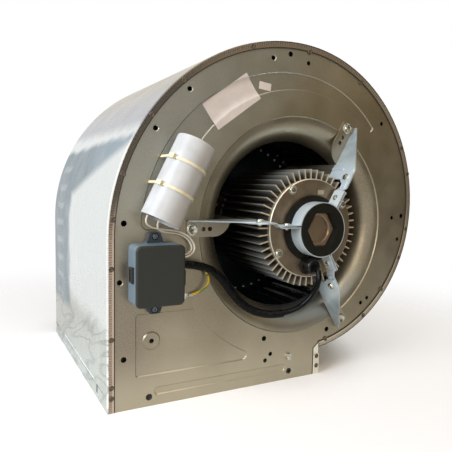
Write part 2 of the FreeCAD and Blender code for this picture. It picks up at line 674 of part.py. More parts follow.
def band_segment(angle):
    """A third of the front band, from the leg at this angle to the next, with its two tabs."""
    y0 = band_front() + BAND_SETBACK
    y1 = y0 + BAND_W
    inner = RUBBER_R + BAND_GAP
    ring = turned(tube(0, 0, inner + BAND_T, inner, y0, y1), angle)
    span = 2 * RUBBER_COLLAR_R
    near = LEG_ROOT + LEG_T
    first = turned(block(-span, span, y0, y1, near, span), angle)
    last = turned(block(-span, span, y0, y1, -span, LEG_ROOT), angle + 120)
    drill = leg_bore(BAND_SCREW_AT, BAND_SCREW_R)
    root = inner + BAND_T / 2
    tab_a = block(math.sqrt(root ** 2 - near ** 2), BAND_TAB, y0, y1, near, near + BAND_T)
    low = LEG_ROOT - BAND_T
    tab_b = block(math.sqrt(root ** 2 - low ** 2), BAND_TAB, y0, y1, low, LEG_ROOT)
    tabs = [turned(tab_a.cut(drill), angle), turned(tab_b.cut(drill), angle + 120)]
    arc = ring.common(first).common(last)
    return fused([arc] + tabs).cut(rod(0, 0, inner, y0, y1))


def rubber_ring():
    """Resilient ring with a hexagonal bore and a thin collar against the end shield."""
    y0 = MOTOR_FACE - RUBBER_LEN - RUBBER_LEAD
    ring = rod(0, 0, RUBBER_R, y0, MOTOR_FACE)
    collar = rod(0, 0, RUBBER_COLLAR_R, MOTOR_FACE - RUBBER_COLLAR, MOTOR_FACE)
    ring = ring.fuse(collar)
    ring = ring.cut(hexagon(0, 0, BOSS_FLATS, y0 - 1, MOTOR_FACE + 1))
    edge = [e for e in ring.Edges if e.BoundBox.YMax < y0 + 0.01 and e.Curve.TypeId == "Part::GeomCircle"]
    return ring.makeFillet(RUBBER_ROUND, edge)


def end_shield():
    """Cast end shield with its spigot, hexagonal boss and bearing seat."""
    face = MOTOR_FACE
    flange = face + SHIELD_T
    seat = face - BOSS_LEN + BOSS_DISH + BOSS_WALL
    spigot_r = FRAME_R - FRAME_WALL - DRILL_GAP
    inner_r = spigot_r - SPIGOT_WALL
    shield = spun(((0, face), (SHIELD_R - 1.0, face), (SHIELD_R, face + 1.0), (SHIELD_R, flange),
                   (spigot_r, flange), (spigot_r, flange + SPIGOT), (inner_r, flange + SPIGOT),
                   (inner_r, flange), (0, flange)))
    boss = hexagon(0, 0, BOSS_FLATS - 2 * BAND_GAP, face - BOSS_LEN, face)
    shield = shield.fuse(boss)
    shield = shield.cut(rod(0, 0, BEARING_R, seat, flange + 1))
    screws = [point(SHIELD_SCREW_ANGLE + 90 * k, SHIELD_SCREW_CIRCLE) for k in range(4)]
    cuts = [rod(p.x, p.z, SHIELD_SCREW_R + DRILL_GAP, face - 1, flange + SPIGOT + 1) for p in screws]
    cuts += [rod(p.x, p.z, SCREW_SEAT_R, face - 1, face + SCREW_SEAT) for p in screws]
    return shield.cut(Part.makeCompound(cuts))


def front_shield():
    face = MOTOR_FACE
    pad = block(PAD[0], PAD[1], face - PAD_H, face, PAD[2], PAD[3])
    dish = rod(0, 0, BOSS_DISH_R, face - BOSS_LEN - 1, face - BOSS_LEN + BOSS_DISH)
    gland_hole = rod(GLAND_AT[0], GLAND_AT[1], GLAND_STEM_R + DRILL_GAP, face - 1, face + SHIELD_T + 1)
    return end_shield().fuse(pad).cut(dish).cut(gland_hole)


def rear_shield():
    face = MOTOR_FACE
    bore = rod(0, 0, SHAFT_STEP_R + 1.0, face - BOSS_LEN - 1, face)
    return at_motor_rear(end_shield().cut(bore))


def motor_frame():
    """Finned frame of the motor, with lugs inside for the long screws."""
    y0 = MOTOR_FACE + SHIELD_T + FIN_SETBACK
    y1 = y0 + MOTOR_LEN - 2 * (SHIELD_T + FIN_SETBACK)
    barrel = tube(0, 0, FRAME_R, FRAME_R - FRAME_WALL, y0, y1)
    pitch = 360.0 / FIN_COUNT
    fin = block(FRAME_R - FRAME_WALL / 2, FIN_R, y0, y1, -FIN_T / 2, FIN_T / 2)
    fins = [turned(fin, FIN_PHASE + pitch * (k + 0.5)) for k in range(FIN_COUNT)]
    frame = barrel.multiFuse(fins)
    screws = [point(SHIELD_SCREW_ANGLE + 90 * k, SHIELD_SCREW_CIRCLE) for k in range(4)]
    lugs = [rod(p.x, p.z, SCREW_SEAT_R, y0 + SPIGOT, y1 - SPIGOT).common(rod(0, 0, FRAME_R - 1, y0, y1))
            for p in screws]
    frame = frame.multiFuse(lugs)
    bores = [rod(p.x, p.z, SHIELD_SCREW_R + DRILL_GAP, y0, y1) for p in screws]
    return frame.cut(Part.makeCompound(bores))


def motor_shell():
    pieces["motor_frame"] = motor_frame()
    pieces["end_shield_front"] = front_shield()
    pieces["end_shield_rear"] = rear_shield()
    face = MOTOR_FACE + SCREW_SEAT
    screws = []
    for k in range(4):
        p = point(SHIELD_SCREW_ANGLE + 90 * k, SHIELD_SCREW_CIRCLE)
        head = Part.makeCylinder(SHIELD_SCREW_R * 1.8, SHIELD_HEAD, V(p.x, face - SHIELD_HEAD, p.z), AXIS)
        head = head.makeChamfer(SHIELD_HEAD / 3, [e for e in head.Edges if e.BoundBox.YMax < face - 1])
        screw = head.fuse(rod(p.x, p.z, SHIELD_SCREW_R, face, face + SHIELD_T + SHIELD_SCREW_GRIP))
        screws += [screw, at_motor_rear(screw)]
    pieces["end_shield_screws"] = Part.makeCompound(screws)


def motor_inside():
    middle = MOTOR_FACE + MOTOR_LEN / 2
    y0 = middle - CORE_LEN / 2
    y1 = middle + CORE_LEN / 2
    bore = CORE_R + AIR_GAP
    lugs = [rod(p.x, p.z, SCREW_SEAT_R + DRILL_GAP, y0, y1)
            for p in (point(SHIELD_SCREW_ANGLE + 90 * k, SHIELD_SCREW_CIRCLE) for k in range(4))]
    slot = block(bore + 2, bore + 2 + SLOT_DEPTH, y0, y1, -SLOT_W / 2, SLOT_W / 2)
    slots = [turned(slot, 360.0 / STATOR_SLOTS * k) for k in range(STATOR_SLOTS)]
    pieces["stator_core"] = tube(0, 0, STATOR_R, bore, y0, y1).cut(Part.makeCompound(lugs + slots))
    out = bore + 2 + SLOT_DEPTH
    end = tube(0, 0, out, bore + 3, y0 - WINDING_L, y0)
    end = end.makeChamfer(WINDING_BEVEL, [e for e in end.Edges if e.BoundBox.YMax < y0 - 1 and e.Length > 10])
    pieces["winding_front"] = end
    pieces["winding_rear"] = at_motor_rear(end)
    core = tube(0, 0, CORE_R, SHAFT_STEP_R, y0, y1)
    cage = tube(0, 0, CORE_R - 1, CORE_R - CAGE_W, y0 - CAGE_LEN, y0)
    pieces["rotor_core"] = fused([core, cage, at_motor_rear(cage)])


def bearing_seat():
    """Front face of the front bearing."""
    return MOTOR_FACE - BOSS_LEN + BOSS_DISH + BOSS_WALL


def bearings():
    """Sealed ball bearings: an inner ring, and an outer ring that carries the two shields."""
    y0 = bearing_seat()
    y1 = y0 + BEARING_W
    outer = tube(0, 0, BEARING_R, BEARING_OUTER_BORE, y0, y1)
    for y in (y0 + BEARING_SHIELD_IN, y1 - BEARING_SHIELD_IN - BEARING_SHIELD_T):
        seal = tube(0, 0, BEARING_OUTER_BORE + BEARING_SHIELD_T / 3, BEARING_INNER_R + SEAL_GAP,
                    y, y + BEARING_SHIELD_T)
        outer = outer.fuse(seal)
    inner = tube(0, 0, BEARING_INNER_R, SHAFT_R, y0, y1)
    pieces["bearing_front_outer"] = outer.removeSplitter()
    pieces["bearing_front_inner"] = inner
    shift = V(0, -WASHER_T, 0)
    for name in ("outer", "inner"):
        rear = at_motor_rear(pieces["bearing_front_" + name])
        rear.translate(shift)
        pieces["bearing_rear_" + name] = rear
    washer = tube(0, 0, BEARING_R - DRILL_GAP, BEARING_OUTER_BORE, y0, y0 + WASHER_T)
    pieces["preload_washer"] = at_motor_rear(washer)


def wheel_middle():
    return HOUSING_W / 2


def shaft():
    y0 = bearing_seat() + SHAFT_BACK
    hub_end = wheel_middle() + HUB_LEN / 2
    y1 = hub_end + SHAFT_HUB_END
    body = rod(0, 0, SHAFT_R, y0, y1)
    step0 = bearing_seat() + BEARING_W
    step1 = 2 * MOTOR_FACE + MOTOR_LEN - step0 - WASHER_T
    body = body.fuse(rod(0, 0, SHAFT_STEP_R, step0, step1))
    flat = block(SHAFT_R - 1.0, SHAFT_R + 1, wheel_middle() - HUB_LEN, y1 + 1, -SHAFT_R, SHAFT_R)
    body = body.cut(flat)
    tip = [e for e in body.Edges if e.BoundBox.YMin > y1 - 0.01]
    pieces["shaft"] = body.makeChamfer(SHAFT_BEVEL, tip)


def hub():
    mid = wheel_middle()
    y0 = mid - HUB_LEN / 2
    y1 = mid + HUB_LEN / 2
    face = mid - DISC_T / 2
    body = spun(((SHAFT_R, y0), (HUB_R - 1.0, y0), (HUB_R, y0 + 1.0), (HUB_R, face - HUB_FLANGE_T),
                 (HUB_FLANGE_R, face - HUB_FLANGE_T), (HUB_FLANGE_R, face), (HUB_R, face),
                 (HUB_R, y1 - 1.0), (HUB_R - 1.0, y1), (SHAFT_R, y1)))
    screw_y = (y0 + face - HUB_FLANGE_T) / 2
    screw_hole = Part.makeCylinder(SET_SCREW_R, HUB_R + 1, V(0, screw_y, 0), V(1, 0, 0))
    spots = [point(360.0 / HUB_RIVETS * (k + 0.5), HUB_RIVET_CIRCLE) for k in range(HUB_RIVETS)]
    holes = [rod(p.x, p.z, HUB_RIVET_R, y0, y1) for p in spots]
    pieces["wheel_hub"] = body.cut(screw_hole).cut(Part.makeCompound(holes))
    disc = tube(0, 0, WHEEL_R - RING_T, HUB_R + BAND_GAP, face, face + DISC_T)
    pieces["wheel_disc"] = disc.cut(Part.makeCompound(holes))
    rivets = []
    for p in spots:
        for y in (face - HUB_FLANGE_T - HUB_RIVET_HEAD, face + DISC_T):
            rivets.append(rod(p.x, p.z, HUB_RIVET_R * 1.8, y, y + HUB_RIVET_HEAD))
        rivets.append(rod(p.x, p.z, HUB_RIVET_R, face - HUB_FLANGE_T, face + DISC_T))
    pieces["hub_rivets"] = Part.makeCompound([fused(rivets[3 * k:3 * k + 3]) for k in range(HUB_RIVETS)])
    grip = HUB_R - SHAFT_R + SET_SCREW_OUT
    pieces["hub_set_screw"] = Part.makeCylinder(SET_SCREW_R, grip, V(SHAFT_R - 1.0, screw_y, 0), V(1, 0, 0))


def blade_face(y):
    """Section of one forward-curved blade, hooked towards the rotation."""
    lean = math.radians(BLADE_LEAN)
    hook = math.radians(BLADE_HOOK)
    bend = (BLADE_OUT_R - BLADE_IN_R) / (math.sin(hook) - math.sin(lean))
    centre = V(BLADE_IN_R - bend * math.sin(lean), y, bend * math.cos(lean))

    def at(radius, angle):
        return centre + V(radius * math.sin(angle), 0, -radius * math.cos(angle))

    outer = bend + BLADE_T / 2
    inner = bend - BLADE_T / 2
    middle = (lean + hook) / 2
    edges = [Part.Arc(at(outer, lean), at(outer, middle), at(outer, hook)).toShape(),
             Part.LineSegment(at(outer, hook), at(inner, hook)).toShape(),
             Part.Arc(at(inner, hook), at(inner, middle), at(inner, lean)).toShape(),
             Part.LineSegment(at(inner, lean), at(outer, lean)).toShape()]
    return closed_face(edges)


def wheel():
    """Two rows of forward-curved blades, each between the centre disc and an end ring."""
    y0 = WHEEL_GAP + RING_T
    y1 = wheel_middle() - DISC_T / 2
    blade = blade_face(y0).extrude(V(0, y1 - y0, 0))
    row = [turned(blade, 360.0 / BLADE_COUNT * k) for k in range(BLADE_COUNT)]
    pieces["blades_front"] = Part.makeCompound(row)
    pieces["blades_back"] = Part.makeCompound([at_back(b) for b in row])
    face = tube(0, 0, WHEEL_R, RING_IN_R, WHEEL_GAP, WHEEL_GAP + RING_T)
    skirt = tube(0, 0, WHEEL_R, WHEEL_R - SKIRT_T, WHEEL_GAP, WHEEL_GAP + RING_SKIRT)
    ring = face.fuse(skirt).removeSplitter()
    pieces["end_ring_front"] = ring
    pieces["end_ring_back"] = at_back(ring)


def bolt(x, z, radius, y_head, y_end, flats):
    """Hexagon-headed bolt along +Y whose head sits ahead of y_head."""
    head = hexagon(x, z, flats, y_head - radius * 1.3, y_head)
    return head.fuse(rod(x, z, radius, y_head, y_end)).removeSplitter()


def nut(x, z, radius, y0, flats):
    return hexagon(x, z, flats, y0, y0 + radius * 1.6).cut(rod(x, z, radius, y0 - 1, y0 + radius * 2))


def mounting():
    part_foot = foot()
    part_leg = leg()
    ring = rubber_ring()
    room_r = GLAND_FLATS / math.sqrt(3.0) + GLAND_ROOM
    gland_room = rod(GLAND_AT[0], GLAND_AT[1], room_r, MOTOR_FACE - 2 * GLAND_BODY, MOTOR_FACE + 1)
    pieces["rubber_ring_front"] = ring.cut(gland_room)
    pieces["rubber_ring_rear"] = at_motor_rear(ring)
    foot_bolts, foot_nuts, leg_screws = [], [], []
    for number, angle in enumerate(LEG_ANGLES, 1):
        pieces["motor_foot_%d" % number] = turned(part_foot, angle)
        pieces["motor_leg_%d" % number] = turned(part_leg, angle)
        segment = band_segment(angle - 120)
        pieces["front_band_%d" % number] = segment
        pieces["rear_band_%d" % number] = at_motor_rear(segment)
        p = point(angle, FOOT_BOLT_CIRCLE)
        foot_bolts.append(bolt(p.x, p.z, FOOT_BOLT_R, -FOOT_T, SHEET + FOOT_BOLT_R * 2.2, FOOT_FLATS))
        foot_nuts.append(nut(p.x, p.z, FOOT_BOLT_R, SHEET, FOOT_FLATS))
        leg_screws.append(turned(leg_bolt(), angle))
        screw = turned(band_screw(), angle)
        leg_screws += [screw, at_motor_rear(screw)]
    pieces["foot_bolts"] = Part.makeCompound(foot_bolts)
    pieces["foot_nuts"] = Part.makeCompound(foot_nuts)
    pieces["leg_screws"] = Part.makeCompound(leg_screws)


def leg_bolt():
    """Screw through a foot's web into its leg, with its nut."""
    low = LEG_OFFSET - WEB_T
    return cross_screw(LEG_BOLT_AT, LEG_BOLT_R, LEG_HEAD, low, LEG_OFFSET + LEG_T)


def band_screw():
    """Screw and nut through a leg and the two tabs beside it."""
    low = LEG_ROOT - BAND_T
    return cross_screw(BAND_SCREW_AT, BAND_SCREW_R, BAND_HEAD, low, LEG_ROOT + LEG_T + BAND_T)


def cross_screw(place, radius, head, low, top):
    """Screw across the legs from its head below the sheets to its nut above them."""
    r, y = place
    shank = rod_z(r, y, radius, low, top + 2 * SCREW_TAIL)
    cap = rod_z(r, y, radius * 1.8, low - head, low)
    cap = cap.makeChamfer(head / 3, [e for e in cap.Edges if e.BoundBox.ZMax < low - head / 2])
    collar = rod_z(r, y, radius * 1.7, top, top + SCREW_TAIL)
    return fused([shank, cap, collar])


def capacitor():
    """Capacitor can and lid along its axis, and the two cable ties that hold it."""
    half = CAP_LEN / 2
    can = Part.makeCylinder(CAP_R, CAP_LEN - CAP_LID, V(-half + CAP_LID, CAP_Y, 0), V(1, 0, 0))
    rim = [e for e in can.Edges if e.BoundBox.XMin > half - 1]
    pieces["capacitor_can"] = cap_placed(can.makeFillet(CAP_ROUND, rim))
    lid = Part.makeCylinder(CAP_R, CAP_LID, V(-half, CAP_Y, 0), V(1, 0, 0))
    well = Part.makeCylinder(CAP_R - CAP_LID_WALL, CAP_LID - CAP_LID_FLOOR, V(-half, CAP_Y, 0), V(1, 0, 0))
    lid = lid.cut(well)
    pieces["capacitor_lid"] = cap_placed(lid)
    for name, along in zip(("cable_tie_upper", "cable_tie_lower"), TIE_AT):
        pieces[name] = cap_placed(cable_tie(along))


def cable_tie(along):
    """Strap over the can, down through two slots and across behind the plate, with its head."""
    x0 = along - TIE_W / 2
    inner = CAP_R + TIE_GAP
    outer = inner + TIE_T
    back = EMBOSS_H + SHEET + DRILL_GAP
    hoop = Part.makeCylinder(outer, TIE_W, V(x0, CAP_Y, 0), V(1, 0, 0))
    sides = block(x0, x0 + TIE_W, CAP_Y, back + TIE_T, -outer, outer)
    hole = Part.makeCylinder(inner, TIE_W, V(x0, CAP_Y, 0), V(1, 0, 0))
    gap = block(x0, x0 + TIE_W, CAP_Y, back, -inner, inner)
    strap = hoop.fuse(sides).cut(hole.fuse(gap))
    head_y = CAP_Y - TIE_HEAD / 2
    head = block(x0 - TIE_HEAD_LAP, x0 + TIE_W + TIE_HEAD_LAP, head_y, head_y + TIE_HEAD,
                 inner, outer + TIE_HEAD_RISE)
    head.rotate(V(0, CAP_Y, 0), V(1, 0, 0), TIE_HEAD_TURN)
    return strap.fuse(head).removeSplitter().cut(hole)


def rounded_box(x, z, width, height, y0, y1, radius):
    shape = block(x - width / 2, x + width / 2, y0, y1, z - height / 2, z + height / 2)
    return shape.makeFillet(radius, edges_along(shape, AXIS, lambda c: True))


def lug_screw_z(side):
    return BOX_AT[1] + side * (BOX_H / 2 + LUG_SCREW)


def cable_entries():
    """Openings in the box wall for the cable and wires, on their own routes."""
    ends = [(CABLE_ROUTE[-1], SLEEVE_D), (EARTH_ROUTE[0], EARTH_D)]
    ends += [(route[-1], LEAD_D) for route in LEAD_ROUTES.values()]
    wall = BOX_AT[0] + BOX_W / 2
    return [Part.makeCylinder(d / 2 + CABLE_GAP, 3 * BOX_WALL, V(wall - 2 * BOX_WALL, p[1], p[2]), V(1, 0, 0))
            for p, d in ends]


def terminal_box():
    x, z = BOX_AT
    base_top = -(BOX_D - LID_D)
    base = rounded_box(x, z, BOX_W, BOX_H, base_top, 0.0, BOX_ROUND)
    hollow = rounded_box(x, z, BOX_W - 2 * BOX_WALL, BOX_H - 2 * BOX_WALL, base_top - 1, -BOX_WALL,
                         BOX_ROUND - BOX_WALL)
    base = base.cut(hollow)
    for side in (-1, 1):
        base = base.fuse(box_lug(side)).cut(rod(x, lug_screw_z(side), BOX_SCREW_R + DRILL_GAP, -BOX_D, SHEET))
        base = base.cut(rod(x, lug_screw_z(side), BOX_SCREW_R * 2, -LUG_T - 1, -LUG_T + LUG_SEAT))
        base = base.fuse(latch_catch(side, base_top))
    pieces["terminal_box"] = base.cut(Part.makeCompound(cable_entries()))
    inner_w = BOX_W - 2 * BOX_WALL - 2 * LID_GAP
    inner_h = BOX_H - 2 * BOX_WALL - 2 * LID_GAP
    lid = rounded_box(x, z, BOX_W, BOX_H, -BOX_D, base_top, BOX_ROUND)
    edge = [e for e in lid.Edges if e.BoundBox.YMax < -BOX_D + 0.01]
    lid = lid.makeFillet(LID_EDGE, edge)
    spigot = rounded_box(x, z, inner_w, inner_h, base_top - 1, base_top + LID_SPIGOT,
                         BOX_ROUND - BOX_WALL - LID_GAP)
    pocket = rounded_box(x, z, inner_w - 2 * BOX_WALL, inner_h - 2 * BOX_WALL, -BOX_D + BOX_WALL,
                         base_top + LID_SPIGOT + 1, 1.5)
    lid = lid.fuse(spigot).cut(pocket)
    for side in (-1, 1):
        lid = lid.fuse(latch(side, base_top)).removeSplitter()
    pieces["terminal_box_lid"] = lid.cut(Part.makeCompound(cable_entries()))
    x0, x1, z0, z1 = x + STRIP[0], x + STRIP[1], z + STRIP[2], z + STRIP[3]
    rail = block(x0, x1, -BOX_WALL - STRIP_H, -BOX_WALL, z0, z1)
    pitch = (x1 - x0) / STRIP_WAYS
    wells = [rod(x0 + pitch * (k + 0.5), (z0 + z1) / 2, STRIP_WELL,
                 -BOX_WALL - STRIP_H - 1, -BOX_WALL - STRIP_H / 2) for k in range(STRIP_WAYS)]
    pieces["terminal_strip"] = rail.cut(Part.makeCompound(wells))
    screws = []
    for side in (-1, 1):
        seat = -LUG_T + LUG_SEAT
        shank = rod(x, lug_screw_z(side), BOX_SCREW_R, seat, SHEET + BOX_SCREW_END)
        head = rod(x, lug_screw_z(side), BOX_SCREW_R * 1.8, seat - BOX_SCREW_HEAD, seat)
        screws.append(head.fuse(shank).removeSplitter())
    pieces["terminal_box_screws"] = Part.makeCompound(screws)


def box_lug(side):
    """Fixing lug with sloping flanks on the box's upper or lower wall."""
    x = BOX_AT[0]
    z0 = BOX_AT[1] + side * BOX_H / 2
    z1 = z0 + side * LUG_REACH
    half = LUG_W / 2
    wide = half + LUG_FLARE
    face = polygon([V(x - wide, 0, z0), V(x + wide, 0, z0), V(x + half, 0, z1), V(x - half, 0, z1)])
    lug = face.extrude(V(0, -LUG_T, 0))
    return lug.makeFillet(LUG_ROUND, edges_along(lug, AXIS, lambda c: abs(c.z - z1) < 0.1))


def latch_z(side):
    return BOX_AT[1] + LATCH_SHIFT[(side + 1) // 2]


def latch_catch(side, base_top):
    """Small catch on the box's side that the lid's loop snaps over."""
    wall = BOX_AT[0] + side * BOX_W / 2
    inner, outer = wall - side * 1.0, wall + side * CATCH
    z = latch_z(side)
    return block(min(inner, outer), max(inner, outer), base_top + CATCH_H[0], base_top + CATCH_H[1],
                 z - CATCH_LEN / 2, z + CATCH_LEN / 2)


def latch(side, base_top):
    """Snap loop of the lid that reaches back over the catch on the box's side."""
    wall = BOX_AT[0] + side * BOX_W / 2
    near = wall + side * (CATCH + LID_GAP)
    far = near + side * LATCH_BAR
    z = latch_z(side)
    half = LATCH_LEN / 2
    low = base_top - LATCH_ROOT
    loop = block(min(near, far), max(near, far), low, base_top + LATCH_REACH, z - half, z + half)
    window = block(min(near, far) - 1, max(near, far) + 1, base_top, base_top + LATCH_REACH - LATCH_BAR,
                   z - half + LATCH_BAR, z + half - LATCH_BAR)
    loop = loop.makeFillet(LATCH_BAR, edges_along(loop, V(1, 0, 0), lambda c: c.y > base_top)).cut(window)
    root = block(min(wall - side, far), max(wall - side, far), low, base_top, z - half, z + half)
    return loop.fuse(root)


def gland():
    x, z = GLAND_AT
    face = MOTOR_FACE
    body = hexagon(x, z, GLAND_FLATS, face - GLAND_BODY, face)
    body = body.fuse(rod(x, z, GLAND_STEM_R, face, face + SHIELD_T + 4))
    bore = rod(x, z, CABLE_D / 2 + CABLE_GAP, face - GLAND_BODY - GLAND_NUT - 1, face + SHIELD_T + 5)
    pieces["cable_gland"] = body.removeSplitter().cut(bore)
    dome = rod(x, z, GLAND_NUT_R, face - GLAND_BODY - GLAND_NUT, face - GLAND_BODY)
    front = [e for e in dome.Edges if e.BoundBox.YMax < face - GLAND_BODY - GLAND_NUT + 0.01]
    pieces["cable_gland_nut"] = dome.makeFillet(3.0, front).cut(bore)


def smooth_path(points):
    """Straight runs joined by tangent arcs as large as the two runs allow."""
    spots = [V(*p) for p in points]
    edges, radii = [], []
    start = spots[0]
    for before, here, after in zip(spots, spots[1:], spots[2:]):
        back = (before - here)
        ahead = (after - here)
        trim = CORD_BEND * min(back.Length, ahead.Length)
        turn = math.pi - back.getAngle(ahead)
        radii.append(trim / math.tan(turn / 2))
        first = here + back.normalize() * trim
        last = here + ahead.normalize() * trim
        inward = (back + ahead).normalize()
        middle = here + inward * (radii[-1] / math.cos(turn / 2) - radii[-1])
        edges.append(Part.LineSegment(start, first).toShape())
        edges.append(Part.Arc(first, middle, last).toShape())
        start = last
    edges.append(Part.LineSegment(start, spots[-1]).toShape())
    return edges, radii


def swept(edges, diameter):
    start = edges[0].valueAt(edges[0].FirstParameter)
    heading = edges[0].tangentAt(edges[0].FirstParameter)
    ring = Part.Wire(Part.makeCircle(diameter / 2, start, heading))
    return Part.Wire(edges).makePipeShell([ring], True, False)


def cord(name, points, diameter):
    """A round cord along a route; its length, volume and bends are printed."""
    edges, radii = smooth_path(points)
    solid = swept(edges, diameter)
    length = sum(edge.Length for edge in edges)
    share = solid.Volume / (math.pi * diameter ** 2 / 4 * length)
    print("%s length %.1f, volume %.3f of section times length" % (name, length, share))
    print("    radii", [round(r, 1) for r in radii])
    pieces[name] = solid
    return edges


def wiring():
    cable = cord("motor_cable", CABLE_ROUTE, CABLE_D)
    sleeved = cable[2 * SLEEVE_FROM:]
    pieces["cable_sleeve"] = swept(sleeved, SLEEVE_D).cut(swept(sleeved, CABLE_D + 2 * CABLE_GAP))
    for name, route in LEAD_ROUTES.items():
        cord(name, route, LEAD_D)
    cord("earth_wire", EARTH_ROUTE, EARTH_D)
    pieces["earth_lug"] = earth_lug().cut(pieces["earth_wire"])
    x, z = EARTH_LUG_AT
    head = rod(x, z, EARTH_SCREW_R * 1.9, -LUG_EYE_T - EARTH_HEAD, -LUG_EYE_T)
    screw = rod(x, z, EARTH_SCREW_R, -LUG_EYE_T, SHEET + EARTH_SCREW_END).fuse(head)
    stud = bolt(EARTH_BOLT[0], EARTH_BOLT[1], EARTH_BOLT_R, 0.0, SHEET + EARTH_SCREW_END, EARTH_BOLT_FLATS)
    pieces["earth_screws"] = Part.makeCompound([screw.removeSplitter(), stud])


def earth_lug():
    """Ring lug under its screw, its neck rising to a barrel crimped on the earth wire."""
    x, z = EARTH_LUG_AT
    end = V(*EARTH_ROUTE[-1])
    eye = tube(x, z, LUG_EYE_R, EARTH_SCREW_R + DRILL_GAP, -LUG_EYE_T, 0.0)
    near = x + LUG_EYE_R - LUG_LAP
    neck = block(near, end.x, -LUG_EYE_T, 0.0, z - LUG_NECK_W / 2, z + LUG_NECK_W / 2)
    outer = EARTH_D / 2 + LUG_BARREL_WALL
    barrel = Part.makeCylinder(outer, LUG_BARREL, V(end.x - LUG_EYE_T, end.y, end.z), V(1, 0, 0))
    return fused([eye, neck, barrel])


def whole_box():
    """Overall box of the fan without its loose cables."""
    total = FreeCAD.BoundBox()
    for name in ("scroll_wrap", "cutoff_plate", "motor_foot_1", "motor_foot_2", "motor_foot_3",
                 "rubber_ring_front", "side_plate_front"):
        total.add(pieces[name].optimalBoundingBox(False, False))
    return total


def main():
    side_plates()
    scroll_wrap()
    cutoff()
    wheel()
    hub()
    shaft()
    bearings()
    motor_shell()
    motor_inside()
    mounting()
    capacitor()
    terminal_box()
    gland()
    wiring()
    box = whole_box()
    shift = V(-(box.XMin + box.XMax) / 2, -(box.YMin + box.YMax) / 2, -box.ZMin)
    print("origin shift", [round(c, 3) for c in shift])
    print("size", [round(length, 2) for length in (box.XLength, box.YLength, box.ZLength)])
    os.makedirs("parts", exist_ok=True)
    for name, shape in pieces.items():
        shape.translate(shift)
        shape.exportStep("parts/%s.step" % name)
    print(len(pieces), "nodes")


main()
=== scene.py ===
# Finishes, cables and fine detail of a double-inlet centrifugal fan, over its CAD model.
import math
from functools import partial

import bmesh
import bpy
from bpy.props import FloatProperty, IntProperty, PointerProperty, StringProperty
from mathutils import Matrix, Vector
from mathutils.bvhtree import BVHTree


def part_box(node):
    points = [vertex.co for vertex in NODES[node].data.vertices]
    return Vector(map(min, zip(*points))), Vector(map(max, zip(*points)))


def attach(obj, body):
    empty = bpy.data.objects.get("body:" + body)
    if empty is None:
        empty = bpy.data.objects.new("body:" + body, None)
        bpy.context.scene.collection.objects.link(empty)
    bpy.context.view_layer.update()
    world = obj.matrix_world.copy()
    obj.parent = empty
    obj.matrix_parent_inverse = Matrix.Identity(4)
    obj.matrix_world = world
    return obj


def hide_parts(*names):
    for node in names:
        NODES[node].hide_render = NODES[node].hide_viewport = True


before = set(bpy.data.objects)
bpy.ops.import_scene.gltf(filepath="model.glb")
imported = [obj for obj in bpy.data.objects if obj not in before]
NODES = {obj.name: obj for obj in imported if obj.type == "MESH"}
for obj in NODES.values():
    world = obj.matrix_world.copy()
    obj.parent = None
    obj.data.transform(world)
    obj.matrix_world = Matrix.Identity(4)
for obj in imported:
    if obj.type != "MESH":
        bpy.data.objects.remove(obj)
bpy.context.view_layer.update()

bl_info = {
    "name": "Centrifugal Fan Finishes",
    "version": (1, 0, 0),
    "blender": (4, 5, 0),
    "location": "3D View > Sidebar > Fan",
    "description": "Cables, fasteners, labels and finishes of a double-inlet centrifugal fan",
    "category": "Object",
}

MM = 0.001
HOUSING = "housing"
ROTOR = "rotor"


def corners(node):
    """Lowest and highest corners of a CAD node's box."""
    low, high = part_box(node)
    return Vector(low), Vector(high)


# The fan axis is the middle of the wheel's disc, and the front plate's outer face lies one sheet
# behind the folded lip of the wrap.
DISC_LOW, DISC_HIGH = corners("wheel_disc")
FAN_X = (DISC_LOW.x + DISC_HIGH.x) / 2
FAN_Z = (DISC_LOW.z + DISC_HIGH.z) / 2
SHEET = 1.0
WRAP_LOW, WRAP_HIGH = corners("scroll_wrap")
FRONT = WRAP_LOW.y + SHEET * MM
BACK = WRAP_HIGH.y - SHEET * MM


def at(x, y, z):
    """A place in millimetres from the fan axis and the front plate, in the frame's metres."""
    return Vector((FAN_X + x * MM, FRONT + y * MM, FAN_Z + z * MM))


# Outline of the scroll in millimetres from the fan axis
FLAT_X = -247.5
RIM_Z = -202.1
SCROLL_START = -9.7
SCROLL_R = (238.6, 206.2, 186.9)
SCROLL_TURN = (92.6, 97.6)
OUTLET_X = 41.5
CORNER_LAP = (31.9, -165.9)             # x and z of the lap's lower left end
BEAD_Z, BEAD_Y = -185.1, (62.0, 262.0)  # stiffening bead on the flat face
SLOT_AT = (47.0, -191.1)                # slot beside the bead, y and z

# Rolled seam, measured in from the lip's edge: the band's two sides, and where its ribs fade out; then the
# scroll's degrees in each step of the band, how far above the rim it ends, and how far the band and the
# clinches stand off the lip
SEAM_W = (1.3, 8.3)
RIBS_END = (4.8 * MM, 5.4 * MM)
SEAM_STEP = 1.5
SEAM_END = 0.5
SEAM_OFF = 0.05
CLINCH_OFF = 0.1
THIN = 0.08 * MM                        # thickness of the seam's band and of a label

